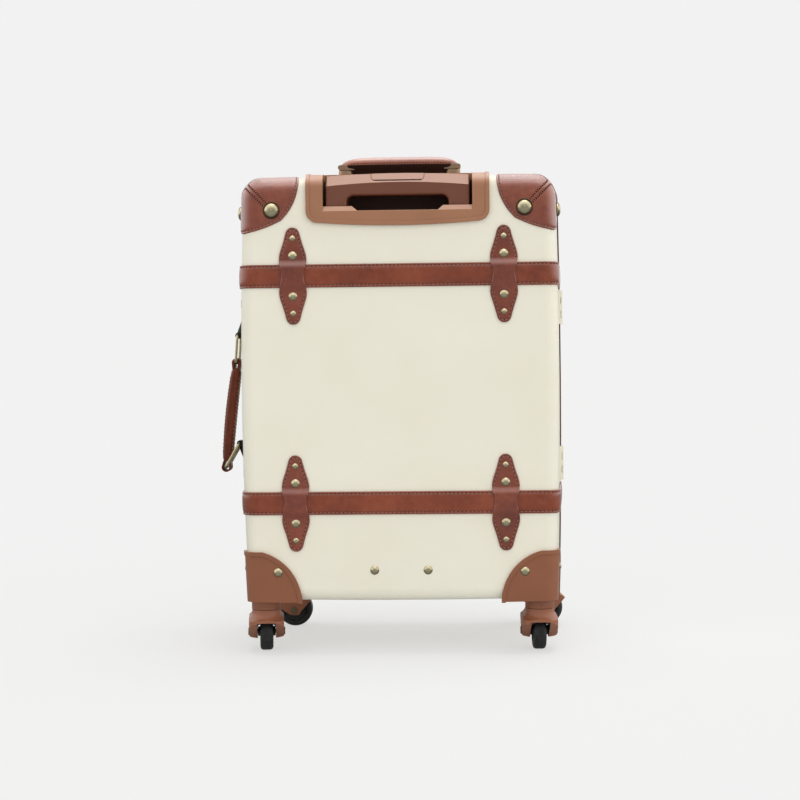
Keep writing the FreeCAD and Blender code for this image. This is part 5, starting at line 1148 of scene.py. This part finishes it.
# The top handle's underside is painted near-black: painted shade under the bar.
UNDERSIDE_SHADE = matt("underside_painted_shade", (900.0, 4.0, 0.65), [(0.3, rgb(34, 17, 12)), (0.7, rgb(48, 26, 19))],
             0.95, 0.1, (0.3, 0.0004))
STUD_DARK = brass("stud_ring_dark", rgb(84, 78, 62), rgb(40, 36, 28), 0.36)
THREAD_BROWN = rgb(176, 106, 80)
THREAD_LOOK = matt("thread_brown", (2400.0, 2.0), [(0.35, shade(THREAD_BROWN, 0.6)), (0.65, THREAD_BROWN)],
                   0.65, bump=(0.4, 0.0003))
# Needle holes are painted near-black: painted shade inside the holes.
HOLE_SHADE_LOOK = matt("needle_hole", (1500.0,), [(0.3, rgb(38, 14, 9)), (0.7, rgb(60, 26, 18))], 0.8, 0.05)

# Forks: corner, stem, and the direction of the axle in degrees
FORK_BROWN = rgb(152, 93, 64)
FORKS = [("back_left", (-STEM_X, -STEM_Y), 6.5), ("back_right", (STEM_X, -STEM_Y), 1.5),
         ("front_left", (-STEM_X, STEM_Y), -90.0), ("front_right", (STEM_X, STEM_Y), -83.0)]

for part in frame["record"]["subparts"]:
    data = NODES[part["node"]].data
    data.materials.clear()
    data.materials.append(LOOKS[part["material_slot"]])
NODES["side_brackets"].data.materials[0] = BRACKET_DARK
for name in ("back_hinge_leaves", "front_hinge_leaves", "hinge_pins"):
    NODES[name].data.materials[0] = LOOKS["shell_cream"]
for corner, stem, turn in FORKS:
    NODES[corner + "_fork"].data.materials[0] = plastic(
        corner + "_fork_brown", FORK_BROWN, 0.40, 2400.0, painted_pocket_shade=(stem, math.radians(turn)))


# Leather and studs of both halves

LINING_CREASE = math.radians(50.0)


def placed(shape, half):
    """A shape of the back half, or its mirror image on the lid."""
    return shape if half == "back" else shape.mirrored(1)


shell_tree = tree_of("back_shell")
trim_threads, trim_holes = Shape(), Shape()
belts = [belt(shell_tree, z, trim_threads, trim_holes) for z in BELT_Z]
half_threads, half_holes = Shape(), Shape()
left_keepers = Shape()
for belt_z in BELT_Z:
    left_keepers.join(keeper(-KEEPER_X, belt_z, half_threads, half_holes))
left_cap = cap(shell_tree, half_threads, half_holes)
trim_threads.join(half_threads.pair())
trim_holes.join(half_holes.pair())
keepers = left_keepers.pair()
caps = left_cap.pair()

for half, body in (("back", "case_body"), ("front", "lid")):
    for level, form in zip(("upper", "lower"), belts):
        name = f"{half}_{level}_belt"
        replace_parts(placed(form, half).build(name + "_leather", body, "leather_belt"), name)
    piece = placed(keepers, half).build(half + "_keeper_leather", body, "leather_keeper")
    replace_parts(piece, half + "_keepers")
    piece = placed(caps, half).build(half + "_cap_leather", body, "leather_cap")
    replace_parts(piece, half + "_top_caps")
    placed(trim_threads, half).build(half + "_trim_stitches", body, "leather_belt", THREAD_LOOK)
    placed(trim_holes, half).build(half + "_trim_needle_holes", body, "leather_belt", HOLE_SHADE_LOOK)
    stud_rings, stud_buttons = Shape(), Shape()
    studs(half + "_cap_studs", stud_rings, stud_buttons)
    rings = stud_rings.build(half + "_stud_rings", body, "brass", STUD_DARK)
    buttons = stud_buttons.build(half + "_stud_buttons", body, "brass")
    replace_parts(rings, half + "_cap_studs")
    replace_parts(buttons, half + "_cap_studs")

    cloth = lining_cloth(half + "_lining").build(half + "_lining_cloth", body, "lining")
    cloth.data.set_sharp_from_angle(angle=LINING_CREASE)
    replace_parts(cloth, half + "_lining")

# Handle bars

bar_threads, bar_holes = Shape(), Shape()
upper_skin, under_skin = top_pad(bar_threads, bar_holes)
pad = upper_skin.build("top_handle_pad", "top_handle", "leather_handle", TOP_LEATHER_LIT)
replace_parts(pad, "top_handle_bar")
# The underside skin takes the painted shade.
underside = under_skin.build("top_handle_underside", "top_handle", "leather_handle", UNDERSIDE_SHADE)
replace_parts(underside, "top_handle_bar")
bar_threads.build("top_handle_stitches", "top_handle", "leather_handle", THREAD_LOOK)
bar_holes.build("top_handle_needle_holes", "top_handle", "leather_handle", HOLE_SHADE_LOOK)

lug_feet().build("top_handle_lug_feet", "top_handle", "bronze", LUG_BRONZE)
NODES["top_handle_core"].data.materials[0] = LUG_BRONZE
bracket_ribs().build("side_bracket_ribs", "case_body", "bronze", BRACKET_DARK)

bar_threads, bar_holes = Shape(), Shape()
pad = side_pad(bar_threads, bar_holes).build("side_handle_pad", "side_bar", "leather_handle")
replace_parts(pad, "side_handle_bar")
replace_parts(side_loops().build("side_handle_loops", "side_bar", "leather_handle"), "side_handle_bar")
bar_threads.build("side_handle_stitches", "side_bar", "leather_handle", THREAD_LOOK)
bar_holes.build("side_handle_needle_holes", "side_bar", "leather_handle", HOLE_SHADE_LOOK)


# Floor, light and camera

# The camera sees an even backdrop; surfaces gather LIGHT all round and show MIRROR in their gloss
BACKDROP = 0.888
FLOOR_HALF = 60.0
# The paper is a little cool and its glow a little warm, so the floor's shadow takes a painted warm tint
# while the lit floor stays neutral.
FLOOR_DIFFUSE = (0.74, 0.775, 0.81, 1.0)
FLOOR_GLOW = (0.945, 0.925, 0.895, 1.0)
FLOOR_GLOW_SHARE = 0.62
FLOOR_MIRRORED_SHARE = 0.7
FLOOR_MIRRORED_GLOW = 0.25
LIGHT_FRONT = 1.22
LIGHT_BACK = 0.5
LIGHT_RIGHT = 0.7
LIGHT_UP = 0.25
MIRROR_FRONT = 0.6
MIRROR_UP = 1.9
MIRROR_SIDE = 1.6
LAMP_FROM = (0.08, 0.06, 0.99)
LAMP_STRENGTH = 1.25
LAMP_ANGLE = math.radians(44.0)

# Camera fitted to the photo: place, yaw, pitch and roll in degrees, lens and sensor in millimetres
CAMERA_AT = (0.068, -1.903, 0.346)
CAMERA_TURN = (2.16, 1.86, -0.63)
CAMERA_LENS, CAMERA_SENSOR = 71.96, 36.0


def seen_ray(nodes):
    """Two sockets: 1 for rays from the camera, and 1 for mirrored or passing rays."""
    rays = nodes.add("ShaderNodeLightPath").outputs
    mirrored = nodes.math("MAXIMUM", rays["Is Glossy Ray"], rays["Is Transmission Ray"])
    return rays["Is Camera Ray"], mirrored


def floor():
    """Pale paper that takes the shadow and glows a little, so that it meets the backdrop."""
    h = FLOOR_HALF
    mesh = bpy.data.meshes.new("floor")
    mesh.from_pydata([(-h, -h, 0), (h, -h, 0), (h, h, 0), (-h, h, 0)], [], [(0, 1, 2, 3)])
    plane = bpy.data.objects.new("floor", mesh)
    bpy.context.scene.collection.objects.link(plane)
    look = Look("floor_paper")
    paper = look.add("ShaderNodeBsdfDiffuse", Color=FLOOR_DIFFUSE)
    camera_ray, mirrored = seen_ray(look)
    strength = look.weighted((mirrored, FLOOR_MIRRORED_GLOW), start=camera_ray)
    glow = look.add("ShaderNodeEmission", Color=FLOOR_GLOW, Strength=strength)
    share = look.weighted((camera_ray, FLOOR_GLOW_SHARE), (mirrored, FLOOR_MIRRORED_SHARE))
    both = look.add("ShaderNodeMixShader")
    for key, value in enumerate((share, paper.outputs[0], glow.outputs[0])):
        look.set(both, key, value)
    look.join(both)
    mesh.materials.append(look.material)


def world():
    """Pale studio: one level for what the camera sees, one for gathered and one for mirrored light."""
    studio = bpy.data.worlds.new("studio")
    bpy.context.scene.world = studio
    nodes = Nodes(studio, "ShaderNodeOutputWorld")
    x, y, z = nodes.parts(nodes.add("ShaderNodeTexCoord").outputs["Generated"])
    front = nodes.math("MAXIMUM", nodes.math("MULTIPLY", y, -1.0), 0.0)
    right, back, up = (nodes.math("MAXIMUM", v, 0.0) for v in (x, y, z))
    sides = nodes.math("POWER", nodes.math("ABSOLUTE", x), 4.0)
    high = nodes.math("POWER", up, 2.0)
    light = nodes.weighted((front, LIGHT_FRONT), (up, LIGHT_UP), (right, LIGHT_RIGHT), (back, LIGHT_BACK))
    mirror = nodes.weighted((front, -MIRROR_FRONT), (high, MIRROR_UP), (sides, MIRROR_SIDE), start=BACKDROP)
    camera_ray, mirrored = seen_ray(nodes)
    gathered = nodes.math("SUBTRACT", nodes.math("SUBTRACT", 1.0, mirrored), camera_ray)
    level = nodes.weighted((light, gathered), (mirror, mirrored), (camera_ray, BACKDROP))
    nodes.join(nodes.add("ShaderNodeBackground", Color=(1.0, 1.0, 1.0, 1.0), Strength=level))


def lamp():
    """One large overhead source; its angle sets how soft the shadow is."""
    light = bpy.data.lights.new("overhead", "SUN")
    light.energy = LAMP_STRENGTH
    light.angle = LAMP_ANGLE
    key = bpy.data.objects.new("overhead", light)
    key.rotation_euler = Vector(LAMP_FROM).to_track_quat("Z", "Y").to_euler()
    bpy.context.scene.collection.objects.link(key)


def camera():
    """The camera at the photo's angle."""
    yaw, pitch, roll = (math.radians(v) for v in CAMERA_TURN)
    turn = Matrix.Rotation(yaw, 4, "Z") @ Matrix.Rotation(0.5 * math.pi - pitch, 4, "X")
    data = bpy.data.cameras.new("photo_camera")
    data.sensor_width = CAMERA_SENSOR
    data.lens = CAMERA_LENS
    eye = bpy.data.objects.new("photo_camera", data)
    eye.matrix_world = Matrix.Translation(CAMERA_AT) @ turn @ Matrix.Rotation(roll, 4, "Z")
    bpy.context.scene.collection.objects.link(eye)
    bpy.context.scene.camera = eye


floor()
world()
lamp()
camera()
bpy.context.scene.view_settings.view_transform = "Standard"
